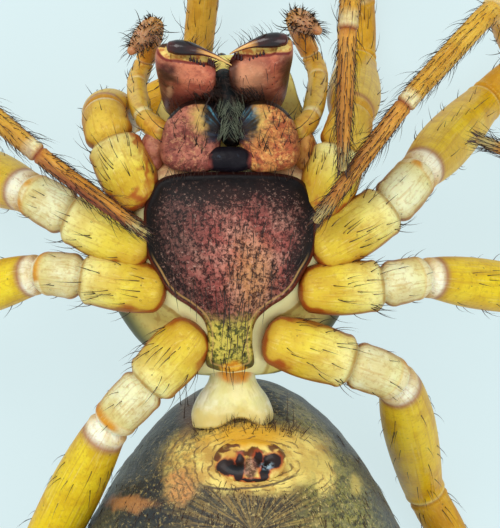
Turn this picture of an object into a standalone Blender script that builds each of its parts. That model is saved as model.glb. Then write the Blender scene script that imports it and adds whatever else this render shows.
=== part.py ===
# A money spider, an adult female about 3 mm long, at life size.
# It lies on its back: the belly faces up (+Z), the head points to +Y, and the spider's own left is +X.
# All shapes are worked out in millimetres and scaled to metres as each one is finished.

import math

import bmesh
import bpy
from mathutils import Vector

MM = 0.001

# Space left between neighbouring pieces, small enough for an animal of 3 mm
GAP = 0.004

# Heights above the floor
PLEURA_Z = 0.925
STERNUM_EDGE_Z = 1.07
STERNUM_TOP_Z = 1.165

# Carapace: place along the body, half width, back surface, belly surface, level of the margin
CARAPACE_FRONT = 0.742
CARAPACE_REAR = -0.400
CARAPACE_HALF_WIDTH = [
    (-0.400, 0.0), (-0.385, 0.16), (-0.34, 0.24), (-0.25, 0.34), (-0.10, 0.425), (0.08, 0.44),
    (0.25, 0.40), (0.42, 0.31), (0.58, 0.245), (0.70, 0.20), (0.73, 0.14), (0.742, 0.0),
]
CARAPACE_BACK = [
    (-0.400, 0.78), (-0.385, 0.70), (-0.34, 0.655), (-0.22, 0.585), (-0.08, 0.535), (0.15, 0.49),
    (0.32, 0.468), (0.48, 0.468), (0.60, 0.50), (0.70, 0.57), (0.73, 0.62), (0.742, 0.70),
]
CARAPACE_BELLY = [
    (-0.400, 0.78), (-0.385, 0.86), (-0.33, PLEURA_Z), (0.36, PLEURA_Z), (0.44, 0.83), (0.50, 0.775),
    (0.56, 0.76), (0.70, 0.76), (0.73, 0.74), (0.742, 0.70),
]
CARAPACE_SIDE_POWER = 0.85
CARAPACE_BACK_POWER = 0.95
CARAPACE_BELLY_POWER = 0.5
CARAPACE_MARGIN = [(-0.400, 0.78), (-0.25, 0.81), (0.20, 0.82), (0.45, 0.76), (0.60, 0.71), (0.742, 0.70)]

# Sternum: place along the body and half width of the shield, from its rear tongue to its front edge
STERNUM_OUTLINE = [
    (-0.372, 0.060), (-0.355, 0.088), (-0.28, 0.078), (-0.235, 0.080), (-0.19, 0.098), (-0.15, 0.143),
    (-0.12, 0.19), (-0.085, 0.226), (-0.03, 0.258), (0.02, 0.287), (0.085, 0.303), (0.185, 0.303),
    (0.25, 0.279), (0.30, 0.245), (0.322, 0.21),
]
STERNUM_LEVELS = [
    (PLEURA_Z + GAP, 0.95), (1.00, 0.985), (STERNUM_EDGE_Z, 1.0), (1.10, 0.975), (1.124, 0.88),
    (1.142, 0.72), (1.155, 0.50), (STERNUM_TOP_Z, 0.25),
]
STERNUM_MIDDLE = Vector((0.0, 0.08, 0.0))
STERNUM_REAR_DROP = 0.16
STERNUM_DROP_ABOVE = 1.05

# Mouth parts
LABIUM = dict(middle=(0.0, 0.368, 1.065), half=(0.088, 0.044, 0.062))
MAXILLA_MIDDLE = Vector((0.1335, 0.4515, 1.040))
MAXILLA_HALF = Vector((0.104, 0.130, 0.085))
MAXILLA_LEAN = math.radians(7)

# Chelicerae: level, place along the body, width, half depth. The head is turned a little to the
# spider's right, so each side has its own inner edge, forward shift, share of the width and slant.
CHELICERA_LEVELS = [
    (0.766, 0.600, 0.180, 0.086), (0.84, 0.622, 0.198, 0.094), (0.94, 0.650, 0.208, 0.092),
    (1.04, 0.680, 0.216, 0.082), (1.12, 0.708, 0.224, 0.070), (1.165, 0.722, 0.214, 0.058),
    (1.182, 0.728, 0.170, 0.042),
]
CHELICERA_SIDES = {
    "left": dict(sign=1, inner=-0.003, forward=0.0, share=1.0, slant=0.42),
    "right": dict(sign=-1, inner=-0.049, forward=-0.022, share=0.95, slant=0.34),
}
CHELICERA_SLANT_FROM = 0.90
CHELICERA_SLANT_SPAN = 0.282
TOOTH_COUNT = 5
TOOTH_LENGTH = 0.020
TOOTH_RADIUS = 0.0055
TOOTH_LEAN = 0.35
TOOTH_ROWS = {
    "left": (Vector((0.069, 0.700, 1.176)), Vector((0.118, 0.726, 1.176))),
    "right": (Vector((-0.092, 0.684, 1.176)), Vector((-0.138, 0.706, 1.176))),
}
FANG_PATHS = {
    "left": [(0.188, 0.782, 1.194), (0.112, 0.784, 1.206), (0.049, 0.761, 1.206), (0.000, 0.733, 1.197)],
    "right": [(-0.206, 0.757, 1.194), (-0.140, 0.756, 1.206), (-0.066, 0.739, 1.206), (0.005, 0.694, 1.192)],
}
FANG_RADII = (0.023, 0.023, 0.021, 0.017, 0.013, 0.009, 0.004)

# Eyes: name, distance from the middle, place along the body, radius
EYES = [
    ("front_middle", 0.030, 0.724, 0.023),
    ("front_side", 0.098, 0.712, 0.030),
    ("rear_middle", 0.044, 0.650, 0.030),
    ("rear_side", 0.125, 0.660, 0.030),
]

# Waist, abdomen, epigyne and spinnerets
ABDOMEN_X = 0.049
ABDOMEN_FRONT = -0.405
ABDOMEN_LENGTH = 1.72
ABDOMEN_HALF_WIDTH = 1.02
ABDOMEN_MIDDLE_Z = 0.55
ABDOMEN_UP = 0.62
ABDOMEN_DOWN = 0.575
ABDOMEN_ROUNDING = 2.6
EPIGYNE_MIDDLE = Vector((0.070, -0.690, 1.050))
EPIGYNE_HALF = Vector((0.118, 0.080, 0.034))
EPIGYNE_SLOPE = math.radians(30)
PEDICEL_X = 0.008
PEDICEL_SECTIONS = [
    (-0.33, 0.075, 0.065, 0.87), (-0.41, 0.085, 0.075, 0.885), (-0.47, 0.125, 0.085, 0.89),
    (-0.53, 0.145, 0.095, 0.885), (-0.60, 0.135, 0.090, 0.87),
]
SPINNERETS = [("front", 0.055, -1.870, 0.058), ("rear", 0.046, -1.975, 0.046)]
SPINNERET_LENGTH = 0.250
SPINNERET_ROOT_Z = 0.86
SPINNERET_SHAPE = [(0, 0.9), (0.4, 1.0), (0.8, 0.82), (0.96, 0.45), (1.0, 0.15)]

# Legs: the joints lie in this order, and a node runs from its first joint to its last
# and has, segment by segment, these thicknesses at its start, middle and end
LEG_NODES = [("coxa", 0, 2), ("femur", 2, 3), ("tibia", 3, 5), ("foot", 5, 7)]
LEG_RADII = [
    (0.090, 0.103, 0.088), (0.078, 0.084, 0.072), (0.070, 0.096, 0.070), (0.068, 0.070, 0.060),
    (0.052, 0.056, 0.048), (0.040, 0.038, 0.034), (0.031, 0.030, 0.017),
]
LEG_SHARES = [0.0, 0.07, 0.16, 0.3, 0.5, 0.7, 0.84, 0.93, 1.0]
LEG_SIDES = 10
KNEE_Z = 0.058
CORNER = 0.12
CLAW_LENGTH = 0.040
CLAW_RADIUS = 0.006

# Where the joints of each leg lie, from the root of its coxa to the tip of its tarsus
LEGS = {
    "leg_left_1": (1.00, [
        (0.322, 0.213, 1.0), (0.394, 0.410, 0.985), (0.430, 0.520, 0.90), (0.455, 0.708, KNEE_Z),
        (0.457, 0.985, KNEE_Z), (0.476, 1.386, 0.84), (0.410, 0.823, 1.235), (0.392, 0.336, 1.250)]),
    "leg_left_2": (1.00, [
        (0.333, 0.056, 1.0), (0.567, 0.203, 0.985), (0.665, 0.322, 0.90), (0.910, 0.581, KNEE_Z),
        (1.064, 0.714, KNEE_Z), (0.938, 0.917, 0.90), (0.609, 0.560, 1.20), (0.304, 0.154, 1.19)]),
    "leg_left_3": (0.95, [
        (0.287, -0.088, 1.0), (0.546, -0.077, 0.985), (0.679, -0.042, 0.93), (1.218, -0.116, 0.33),
        (1.435, -0.126, 0.34), (1.547, 0.147, 0.84), (1.260, 0.280, 1.30), (0.865, 0.430, 1.38)]),
    "leg_left_4": (1.00, [
        (0.168, -0.270, 1.0), (0.434, -0.350, 0.985), (0.595, -0.406, 0.91), (0.697, -0.819, KNEE_Z),
        (0.826, -1.036, KNEE_Z), (1.008, -1.393, 0.76), (0.682, -1.498, 1.26), (0.360, -1.351, 1.44)]),
    "leg_right_1": (1.00, [
        (-0.326, 0.245, 1.0), (-0.423, 0.441, 0.985), (-0.448, 0.532, 0.89), (-0.399, 0.525, KNEE_Z),
        (-0.130, 0.661, KNEE_Z), (-0.049, 1.431, 0.46), (-0.021, 1.379, 1.03), (-0.004, 1.036, 1.33)]),
    "leg_right_2": (1.00, [
        (-0.322, 0.060, 1.0), (-0.574, 0.175, 0.985), (-0.707, 0.252, 0.91), (-1.068, 0.399, KNEE_Z),
        (-1.278, 0.483, KNEE_Z), (-1.050, 0.707, 0.90), (-0.672, 0.385, 1.20), (-0.304, 0.112, 1.19)]),
    "leg_right_3": (0.95, [
        (-0.270, -0.088, 1.0), (-0.532, -0.045, 0.985), (-0.665, -0.028, 0.93), (-1.225, -0.189, 0.38),
        (-1.442, -0.189, 0.39), (-1.582, 0.049, 0.86), (-1.347, 0.416, 1.24), (-1.036, 0.697, 1.38)]),
    "leg_right_4": (1.00, [
        (-0.140, -0.259, 1.0), (-0.294, -0.427, 0.985), (-0.425, -0.560, 0.93), (-0.765, -1.218, 0.34),
        (-0.815, -1.484, 0.33), (-0.915, -1.859, 1.00), (-0.542, -1.491, 1.36), (-0.280, -1.141, 1.46)]),
}

# Palps: the same, with their own joints and thicknesses
PALP_NODES = [("base", 0, 3), ("tip", 3, 5)]
PALP_RADII = [
    (0.038, 0.040, 0.034), (0.034, 0.038, 0.034), (0.034, 0.036, 0.032), (0.033, 0.037, 0.036),
    (0.036, 0.039, 0.016),
]
PALPS = {
    "left": [
        (0.238, 0.462, 1.0), (0.287, 0.511, 0.92), (0.318, 0.666, 0.62), (0.290, 0.740, 0.54),
        (0.218, 0.886, 0.70), (0.308, 0.819, 1.01)],
    "right": [
        (-0.238, 0.462, 1.0), (-0.308, 0.511, 0.92), (-0.338, 0.640, 0.62), (-0.306, 0.714, 0.54),
        (-0.259, 0.865, 0.70), (-0.346, 0.749, 1.00)],
}

COLOURS = {
    "amber": ((0.80, 0.46, 0.06), 0.40),
    "orange": ((0.62, 0.27, 0.05), 0.45),
    "plum": ((0.16, 0.055, 0.055), 0.35),
    "shield": ((0.075, 0.030, 0.030), 0.40),
    "black": ((0.012, 0.009, 0.010), 0.30),
    "cream": ((0.86, 0.80, 0.55), 0.50),
    "olive": ((0.060, 0.062, 0.030), 0.55),
    "rust": ((0.45, 0.16, 0.03), 0.40),
}

made = {}


def clear_scene():
    for thing in list(bpy.data.objects):
        bpy.data.objects.remove(thing, do_unlink=True)


def material(name):
    found = bpy.data.materials.get(name)
    if found:
        return found
    colour, roughness = COLOURS[name]
    found = bpy.data.materials.new(name)
    found.use_nodes = True
    shader = found.node_tree.nodes["Principled BSDF"]
    shader.inputs["Base Color"].default_value = (*colour, 1.0)
    shader.inputs["Roughness"].default_value = roughness
    return found


def along(points, place):
    """The value of a smooth curve through (place, value) points, which are sorted by place."""
    if place <= points[0][0]:
        return points[0][1]
    if place >= points[-1][0]:
        return points[-1][1]
    index = next(i for i in range(1, len(points)) if points[i][0] >= place)
    (x0, y0), (x1, y1) = points[index - 1], points[index]
    before = points[max(index - 2, 0)]
    after = points[min(index + 1, len(points) - 1)]
    slope = (y1 - y0) / (x1 - x0)
    slope0 = limited((y1 - before[1]) / (x1 - before[0]), slope)
    slope1 = limited((after[1] - y0) / (after[0] - x0), slope)
    t = (place - x0) / (x1 - x0)
    width = x1 - x0
    return (
        (2 * t**3 - 3 * t**2 + 1) * y0 + (t**3 - 2 * t**2 + t) * width * slope0
        + (3 * t**2 - 2 * t**3) * y1 + (t**3 - t**2) * width * slope1
    )


def limited(slope, chord):
    """A slope kept from overshooting the chord it belongs to."""
    if slope * chord <= 0:
        return 0.0
    return math.copysign(min(abs(slope), 3 * abs(chord)), chord)


def signed_power(value, power):
    return math.copysign(abs(value) ** power, value)


def face_out(bm):
    bmesh.ops.recalc_face_normals(bm, faces=bm.faces)
    if bm.calc_volume(signed=True) < 0:
        bmesh.ops.reverse_faces(bm, faces=bm.faces)


def shaped_ball(around, rings, place):
    """A ball whose points are moved to place(t, angle), where t runs from 0 to 1 between its poles."""
    bm = bmesh.new()
    bmesh.ops.create_uvsphere(bm, u_segments=around, v_segments=rings, radius=1.0)
    for vert in bm.verts:
        x, y, z = vert.co
        vert.co = place((1 - z) / 2, math.atan2(y, x))
    face_out(bm)
    return bm


def loft(sections):
    """A closed skin through sections of the same count, with a flat cap at each end."""
    bm = bmesh.new()
    rows = [[bm.verts.new(point) for point in section] for section in sections]
    for near, far in zip(rows, rows[1:]):
        for i, vert in enumerate(near):
            j = (i + 1) % len(near)
            bm.faces.new((vert, near[j], far[j], far[i]))
    bm.faces.new(rows[0])
    bm.faces.new(rows[-1])
    face_out(bm)
    return bm


def rest_on_floor(bm):
    """What would reach below the floor is flattened on it."""
    for vert in bm.verts:
        vert.co.z = max(vert.co.z, 0.0)


def finish(name, bm, colour):
    """Makes an object of a mesh, still in millimetres."""
    mesh = bpy.data.meshes.new(name)
    bmesh.ops.triangulate(bm, faces=bm.faces)
    bm.to_mesh(mesh)
    bm.free()
    obj = bpy.data.objects.new(name, mesh)
    spider.objects.link(obj)
    mesh.materials.append(material(colour))
    made[name] = obj
    return obj


def keep_largest(mesh):
    """Only the largest closed surface of a mesh stays."""
    bm = bmesh.new()
    bm.from_mesh(mesh)
    left = set(bm.verts)
    groups = []
    while left:
        group = [left.pop()]
        for vert in group:
            for edge in vert.link_edges:
                other = edge.other_vert(vert)
                if other in left:
                    left.remove(other)
                    group.append(other)
        groups.append(group)
    groups.sort(key=size_of)
    for group in groups[:-1]:
        bmesh.ops.delete(bm, geom=group, context="VERTS")
    bm.to_mesh(mesh)
    bm.free()


def size_of(group):
    spans = [max(v.co[i] for v in group) - min(v.co[i] for v in group) for i in range(3)]
    return spans[0] * spans[1] * spans[2]


def combine(obj, other, operation):
    """One Boolean, applied, with the second object left as it is."""
    change = obj.modifiers.new("combine", "BOOLEAN")
    change.operation = operation
    change.solver = "EXACT"
    change.object = other
    bpy.context.view_layer.update()
    graph = bpy.context.evaluated_depsgraph_get()
    mesh = bpy.data.meshes.new_from_object(obj.evaluated_get(graph))
    obj.modifiers.clear()
    old = obj.data
    obj.data = mesh
    mesh.name = obj.name
    bpy.data.meshes.remove(old)
    keep_largest(mesh)


def swollen(obj):
    """A copy of an object with its surface moved out by the gap, used to cut a neighbour clear of it."""
    mesh = obj.data.copy()
    bm = bmesh.new()
    bm.from_mesh(mesh)
    bm.normal_update()
    moves = [(vert, vert.normal * GAP) for vert in bm.verts]
    for vert, move in moves:
        vert.co += move
    bm.to_mesh(mesh)
    bm.free()
    copy = bpy.data.objects.new("cutter", mesh)
    cutters.objects.link(copy)
    copy.hide_render = True
    copy.display_type = "WIRE"
    return copy


def clear_of(name, *others):
    """Cuts a piece so that it meets each of the others face to face, a small gap away."""
    for other in others:
        cutter = swollen(made[other])
        combine(made[name], cutter, "DIFFERENCE")
        bpy.data.objects.remove(cutter, do_unlink=True)


def back_of_head(x, y):
    """The level of the carapace's back surface."""
    side = min(1.0, abs(x) / along(CARAPACE_HALF_WIDTH, y)) ** (1 / CARAPACE_SIDE_POWER)
    margin = along(CARAPACE_MARGIN, y)
    return margin - (margin - along(CARAPACE_BACK, y)) * math.sqrt(1 - side * side) ** CARAPACE_BACK_POWER


def make_carapace():
    length = CARAPACE_FRONT - CARAPACE_REAR

    def place(t, angle):
        y = CARAPACE_FRONT - length * t
        half = along(CARAPACE_HALF_WIDTH, y)
        margin = along(CARAPACE_MARGIN, y)
        side = math.cos(angle)
        up = math.sin(angle)
        x = half * signed_power(side, CARAPACE_SIDE_POWER)
        if up > 0:
            return (x, y, margin + (along(CARAPACE_BELLY, y) - margin) * up**CARAPACE_BELLY_POWER)
        return (x, y, margin - (margin - along(CARAPACE_BACK, y)) * (-up) ** CARAPACE_BACK_POWER)

    finish("carapace", shaped_ball(24, 18, place), "amber")


def make_sternum():
    outline = STERNUM_OUTLINE
    places = [outline[0][0] + (outline[-1][0] - outline[0][0]) * i / 18 for i in range(19)]
    right = [Vector((along(outline, y), y, 0)) for y in places]
    ring = right + [Vector((-p.x, p.y, 0)) for p in reversed(right)]
    sections = []
    for level, share in STERNUM_LEVELS:
        sections.append([STERNUM_MIDDLE + (p - STERNUM_MIDDLE) * share + Vector((0, 0, level)) for p in ring])
    bm = loft(sections)
    for vert in bm.verts:
        if vert.co.z > STERNUM_DROP_ABOVE:
            # The shield slopes down to its rear tongue
            vert.co.z -= STERNUM_REAR_DROP * max(0.0, -vert.co.y) ** 1.5
    finish("sternum", bm, "shield")


def ellipsoid(middle, half, power=1.0, lean=0.0, around=14, rings=9):
    """A ball squared off by power, with its poles along Z, leaned in the XY plane."""
    middle = Vector(middle)

    def place(t, angle):
        level = 1 - 2 * t
        ring = math.sqrt(max(0.0, 1 - level * level)) ** power
        x = half[0] * ring * signed_power(math.cos(angle), power)
        y = half[1] * ring * signed_power(math.sin(angle), power)
        z = half[2] * signed_power(level, power)
        return middle + Vector((
            x * math.cos(lean) - y * math.sin(lean),
            x * math.sin(lean) + y * math.cos(lean),
            z,
        ))

    return shaped_ball(around, rings, place)


def make_maxilla(side, sign):
    middle = Vector((sign * MAXILLA_MIDDLE.x, MAXILLA_MIDDLE.y, MAXILLA_MIDDLE.z))
    finish(f"maxilla_{side}", ellipsoid(middle, MAXILLA_HALF, 0.6, sign * MAXILLA_LEAN, 16, 10), "orange")
    clear_of(f"maxilla_{side}", "sternum", "labium", "carapace")


def make_chelicera(side):
    shape = CHELICERA_SIDES[side]
    sections = []
    for level, y, width, half_depth in CHELICERA_LEVELS:
        half_width = width * shape["share"] / 2
        middle_x = shape["inner"] + shape["sign"] * half_width
        slant = shape["slant"] * max(0.0, level - CHELICERA_SLANT_FROM) / CHELICERA_SLANT_SPAN
        section = []
        for across, along_y in round_section(16, 0.75):
            x = across * half_width
            section.append(Vector((
                middle_x + x,
                y + shape["forward"] + half_depth * along_y + slant * shape["sign"] * x,
                level,
            )))
        sections.append(section)
    name = f"chelicera_{side}"
    chelicera = finish(name, loft(sections), "plum")
    inner, outer = TOOTH_ROWS[side]
    for i in range(TOOTH_COUNT):
        root = inner.lerp(outer, i / (TOOTH_COUNT - 1)) - Vector((0, 0, TOOTH_LENGTH))
        point = root + Vector((0, TOOTH_LEAN, 1)) * 2 * TOOTH_LENGTH
        tooth = finish("tooth", tapered(root, point, TOOTH_RADIUS, 5), "black")
        combine(chelicera, tooth, "UNION")
        bpy.data.objects.remove(tooth, do_unlink=True)
    del made["tooth"]
    clear_of(name, "carapace", "maxilla_left", "maxilla_right", "labium")


def round_section(count, power):
    """Points round a circle of radius 1, squared off by power."""
    for i in range(count):
        angle = 2 * math.pi * i / count
        yield signed_power(math.cos(angle), power), signed_power(math.sin(angle), power)


def tapered(root, tip, radius, sides):
    """A short pointed cone from root to tip."""
    bm = bmesh.new()
    length = (tip - root).length
    bmesh.ops.create_cone(
        bm, cap_ends=True, segments=sides, radius1=radius, radius2=radius * 0.15, depth=length,
    )
    turn = Vector((0, 0, 1)).rotation_difference(tip - root).to_matrix()
    for vert in bm.verts:
        vert.co = turn @ vert.co + (root + tip) / 2
    return bm


def make_fang(side):
    a, b, c, d = (Vector(point) for point in FANG_PATHS[side])
    rows = []
    for i, radius in enumerate(FANG_RADII):
        t = i / (len(FANG_RADII) - 1)
        s = 1 - t
        middle = a * s**3 + b * 3 * s * s * t + c * 3 * s * t * t + d * t**3
        tangent = (b - a) * s * s + (c - b) * 2 * s * t + (d - c) * t * t
        rows.append((middle, tangent.normalized(), radius))
    finish(f"fang_{side}", loft(rings_along(rows, 8)), "black")
    clear_of(f"fang_{side}", "chelicera_left", "chelicera_right")


def rings_along(rows, sides):
    """Circles of each row's radius, square to its tangent, without twist from one to the next."""
    sections = []
    across = rows[0][1].orthogonal().normalized()
    for middle, tangent, radius in rows:
        across = (across - tangent * across.dot(tangent)).normalized()
        other = tangent.cross(across)
        section = []
        for i in range(sides):
            angle = 2 * math.pi * i / sides
            section.append(middle + (across * math.cos(angle) + other * math.sin(angle)) * radius)
        sections.append(section)
    return sections


def limb_point(joints, segment, share):
    """A point and tangent on a limb whose corners are rounded, share of the way along one segment."""
    start, end = joints[segment], joints[segment + 1]
    length = (end - start).length
    forward = (end - start) / length
    reach = min(CORNER, 0.48 * length) / length
    if share > 1 - reach and segment + 2 < len(joints):
        after = joints[segment + 2] - end
        leave = forward * reach * length
        join = after.normalized() * min(CORNER, 0.48 * after.length)
        t = 0.5 * (share - (1 - reach)) / reach
        return corner(end - leave, end, end + join, t)
    if share < reach and segment > 0:
        before = start - joints[segment - 1]
        arrive = before.normalized() * min(CORNER, 0.48 * before.length)
        t = 0.5 + 0.5 * share / reach
        return corner(start - arrive, start, start + forward * reach * length, t)
    return start + (end - start) * share, forward


def corner(start, middle, end, t):
    point = start * (1 - t) ** 2 + middle * 2 * t * (1 - t) + end * t * t
    tangent = (middle - start) * (1 - t) + (end - middle) * t
    return point, tangent.normalized()


def limb_radius(sizes, share):
    """The thickness along a segment: narrow at both joints, full between them."""
    start, full, end = sizes
    if share < 0.4:
        return start + (full - start) * math.sin(math.pi / 2 * share / 0.4)
    return full + (end - full) * (1 - math.cos(math.pi / 2 * (share - 0.4) / 0.6))


def make_limb(name, joints, radii, nodes, scale, colour):
    joints = [Vector(joint) for joint in joints]
    for part, first, last in nodes:
        rows = []
        for segment in range(first, last):
            for share in LEG_SHARES if segment == first else LEG_SHARES[1:]:
                point, tangent = limb_point(joints, segment, share)
                rows.append([point, tangent, limb_radius(radii[segment], share) * scale])
        rows[0][0] = rows[0][0] + rows[0][1] * GAP / 2
        rows[-1][0] = rows[-1][0] - rows[-1][1] * GAP / 2
        if first == 0:
            point, tangent, radius = rows[0]
            rows.insert(0, [point - tangent * radius * 0.35, tangent, radius * 0.75])
        if last == len(joints) - 1:
            point, tangent, radius = rows[-1]
            rows[-1][2] = radius * 0.75
            rows.append([point + tangent * radius * 0.5, tangent, radius * 0.35])
        bm = loft(rings_along(rows, LEG_SIDES))
        rest_on_floor(bm)
        finish(f"{name}_{part}", bm, colour)


def make_claws(name, joints):
    tip = Vector(joints[-1])
    forward = (tip - Vector(joints[-2])).normalized()
    across = forward.cross(Vector((0, 0, 1))).normalized()
    for sign in (-1, 1):
        root = tip - forward * 0.010 + across * sign * 0.007
        end = tip + forward * CLAW_LENGTH * 0.8 + across * sign * 0.016 - Vector((0, 0, CLAW_LENGTH * 0.25))
        claw = finish("claw", tapered(root, end, CLAW_RADIUS, 6), "black")
        combine(made[f"{name}_foot"], claw, "UNION")
        bpy.data.objects.remove(claw, do_unlink=True)
    del made["claw"]


def abdomen_profile(t):
    """Half width, upper and lower height at a share t of the way from front to rear."""
    width = ABDOMEN_HALF_WIDTH * math.sqrt(t) * math.sqrt(max(0.0, 1 - t**ABDOMEN_ROUNDING))
    height = math.sqrt(max(0.0, 1 - abs(1 - 2 * t) ** ABDOMEN_ROUNDING))
    return width, ABDOMEN_UP * height, ABDOMEN_DOWN * height


def make_abdomen():
    def place(t, angle):
        width, up, down = abdomen_profile(t)
        rise = math.sin(angle)
        z = ABDOMEN_MIDDLE_Z + (up if rise > 0 else down) * rise
        return (ABDOMEN_X + width * math.cos(angle), ABDOMEN_FRONT - ABDOMEN_LENGTH * t, z)

    bm = shaped_ball(28, 22, place)
    rest_on_floor(bm)
    finish("abdomen", bm, "olive")


def make_epigyne():
    bm = ellipsoid((0, 0, 0), EPIGYNE_HALF, 0.85, 0.0, 18, 8)
    for vert in bm.verts:
        x, y, z = vert.co
        vert.co = EPIGYNE_MIDDLE + Vector((
            x,
            y * math.cos(EPIGYNE_SLOPE) + z * math.sin(EPIGYNE_SLOPE),
            z * math.cos(EPIGYNE_SLOPE) - y * math.sin(EPIGYNE_SLOPE),
        ))
    finish("epigyne", bm, "rust")
    clear_of("epigyne", "abdomen")


def make_pedicel():
    sections = []
    for y, half_width, half_height, z in PEDICEL_SECTIONS:
        section = []
        for across, up in round_section(16, 0.8):
            section.append(Vector((PEDICEL_X + half_width * across, y, z + half_height * up)))
        sections.append(section)
    finish("pedicel", loft(sections), "cream")
    clear_of("pedicel", "carapace", "sternum", "abdomen")


def make_spinneret(name, out, y, radius, side, sign):
    root = Vector((ABDOMEN_X + sign * out, y, SPINNERET_ROOT_Z))
    direction = Vector((sign * 0.10, -0.62, 0.78)).normalized()
    rows = []
    for share, width in SPINNERET_SHAPE:
        rows.append((root + direction * SPINNERET_LENGTH * share, direction, radius * width))
    node = f"spinneret_{name}_{side}"
    finish(node, loft(rings_along(rows, 10)), "olive")
    clear_of(node, "abdomen")
    if name == "rear":
        clear_of(node, f"spinneret_front_{side}")


def make_eyes():
    for name, out, y, radius in EYES:
        for side, sign in (("left", 1), ("right", -1)):
            node = f"eye_{name}_{side}"
            middle = (sign * out, y, back_of_head(out, y))
            finish(node, ellipsoid(middle, (radius,) * 3, 1.0, 0.0, 10, 7), "black")
            clear_of(node, "carapace")


def settle():
    """Scales each mesh to metres, with the origin on the floor at the middle of the whole animal."""
    points = [vert.co for obj in made.values() for vert in obj.data.vertices]
    middle_x = (min(p.x for p in points) + max(p.x for p in points)) / 2
    middle_y = (min(p.y for p in points) + max(p.y for p in points)) / 2
    for obj in made.values():
        for vert in obj.data.vertices:
            vert.co = (vert.co - Vector((middle_x, middle_y, 0))) * MM
        obj.data.shade_smooth()
        obj.data.set_sharp_from_angle(angle=math.radians(50))


clear_scene()
spider = bpy.data.collections.new("spider")
cutters = bpy.data.collections.new("cutters")
bpy.context.scene.collection.children.link(spider)
bpy.context.scene.collection.children.link(cutters)

make_carapace()
make_sternum()
finish("labium", ellipsoid(LABIUM["middle"], LABIUM["half"], 0.75), "black")
clear_of("labium", "sternum", "carapace")
for side, sign in (("left", 1), ("right", -1)):
    make_maxilla(side, sign)
for side in CHELICERA_SIDES:
    make_chelicera(side)
for side in FANG_PATHS:
    make_fang(side)
clear_of("fang_right", "fang_left")
make_eyes()
make_abdomen()
make_epigyne()
make_pedicel()
for name, out, y, radius in SPINNERETS:
    for side, sign in (("left", 1), ("right", -1)):
        make_spinneret(name, out, y, radius, side, sign)
for name, (scale, joints) in LEGS.items():
    make_limb(name, joints, LEG_RADII, LEG_NODES, scale, "amber")
    make_claws(name, joints)
    clear_of(f"{name}_coxa", "carapace", "sternum")
for side in ("left", "right"):
    for near, far in ((1, 2), (2, 3), (3, 4)):
        clear_of(f"leg_{side}_{near}_coxa", f"leg_{side}_{far}_coxa")
    make_limb(f"palp_{side}", PALPS[side], PALP_RADII, PALP_NODES, 1.0, "orange")
    clear_of(f"palp_{side}_base", f"maxilla_{side}", "carapace", f"chelicera_{side}")
settle()
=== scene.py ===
# %% [markdown]
# # A dwarf spider on its back
#
# The real animal is 3 mm long and lies on its back, so the camera looks at its belly side. Nearly all
# of it is cuticle: a stiff, slightly see-through shell with dark bristles, and pale soft skin where two
# pieces of shell meet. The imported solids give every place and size. This lesson lays a finer skin over
# them, paints it with procedural materials, and plants the bristles as meshes.

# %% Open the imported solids
import math
import random

import bmesh
import bpy
import numpy as np
from mathutils import Matrix, Vector, noise


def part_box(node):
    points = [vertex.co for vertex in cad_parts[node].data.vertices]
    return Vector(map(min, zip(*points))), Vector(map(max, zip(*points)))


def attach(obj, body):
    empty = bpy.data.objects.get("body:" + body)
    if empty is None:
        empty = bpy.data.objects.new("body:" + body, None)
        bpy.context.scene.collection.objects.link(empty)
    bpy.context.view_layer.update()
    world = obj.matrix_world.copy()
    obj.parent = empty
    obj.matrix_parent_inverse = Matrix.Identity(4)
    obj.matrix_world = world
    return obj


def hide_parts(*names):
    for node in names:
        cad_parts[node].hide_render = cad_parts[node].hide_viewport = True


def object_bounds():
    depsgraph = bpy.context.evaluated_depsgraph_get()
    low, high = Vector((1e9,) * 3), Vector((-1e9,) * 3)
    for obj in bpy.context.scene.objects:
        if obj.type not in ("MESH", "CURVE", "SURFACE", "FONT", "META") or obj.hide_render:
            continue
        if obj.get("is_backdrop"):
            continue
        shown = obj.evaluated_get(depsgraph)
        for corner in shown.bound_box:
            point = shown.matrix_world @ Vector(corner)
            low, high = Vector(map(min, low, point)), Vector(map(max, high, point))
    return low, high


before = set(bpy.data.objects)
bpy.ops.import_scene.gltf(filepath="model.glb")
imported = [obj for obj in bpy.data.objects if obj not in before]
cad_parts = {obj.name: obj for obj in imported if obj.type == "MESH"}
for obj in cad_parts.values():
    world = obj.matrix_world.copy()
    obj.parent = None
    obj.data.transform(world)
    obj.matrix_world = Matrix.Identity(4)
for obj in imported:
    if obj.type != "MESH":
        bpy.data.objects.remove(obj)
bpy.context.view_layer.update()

# %% [markdown]
# ## One measure for everything
#
# At this size metres are clumsy, so every shape below is worked out in millimetres, with the sternum's
# middle line at x = 0. A piece is moved and scaled to metres only as it is finished. The place of the
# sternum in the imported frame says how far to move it.

# %% Millimetres and places
MM = 0.001
PIXEL = 0.0035
STERNUM_FRONT = 0.322
shield_low, shield_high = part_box("sternum")
SHIFT = Vector(((shield_low.x + shield_high.x) / 2, shield_high.y - STERNUM_FRONT * MM, 0))
TO_METRES = Matrix.Translation(SHIFT) @ Matrix.Scale(MM, 4)
SIDES = (("left", 1), ("right", -1))


def seen(x, y):
    """A place in the picture, in pixels, as millimetres across and along the animal."""
    return (x - 230) * PIXEL, (264 - y) * PIXEL


print("shift in mm:", [round(v / MM, 4) for v in SHIFT])

# %% [markdown]
# ## Smooth curves from a few numbers
#
# A sternum or a leg has no straight lines. Its outline is kept as a short table, and a cubic curve
# runs through the table without swinging past its points, so a few numbers give a smooth edge.


# %% Curves through a table
def signed_power(value, power):
    """A power that keeps its value's sign."""
    return math.copysign(abs(value) ** power, value)


def limited(slope, chord):
    """A slope kept from overshooting the chord it belongs to."""
    if slope * chord <= 0:
        return 0.0
    return math.copysign(min(abs(slope), 3 * abs(chord)), chord)


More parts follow.
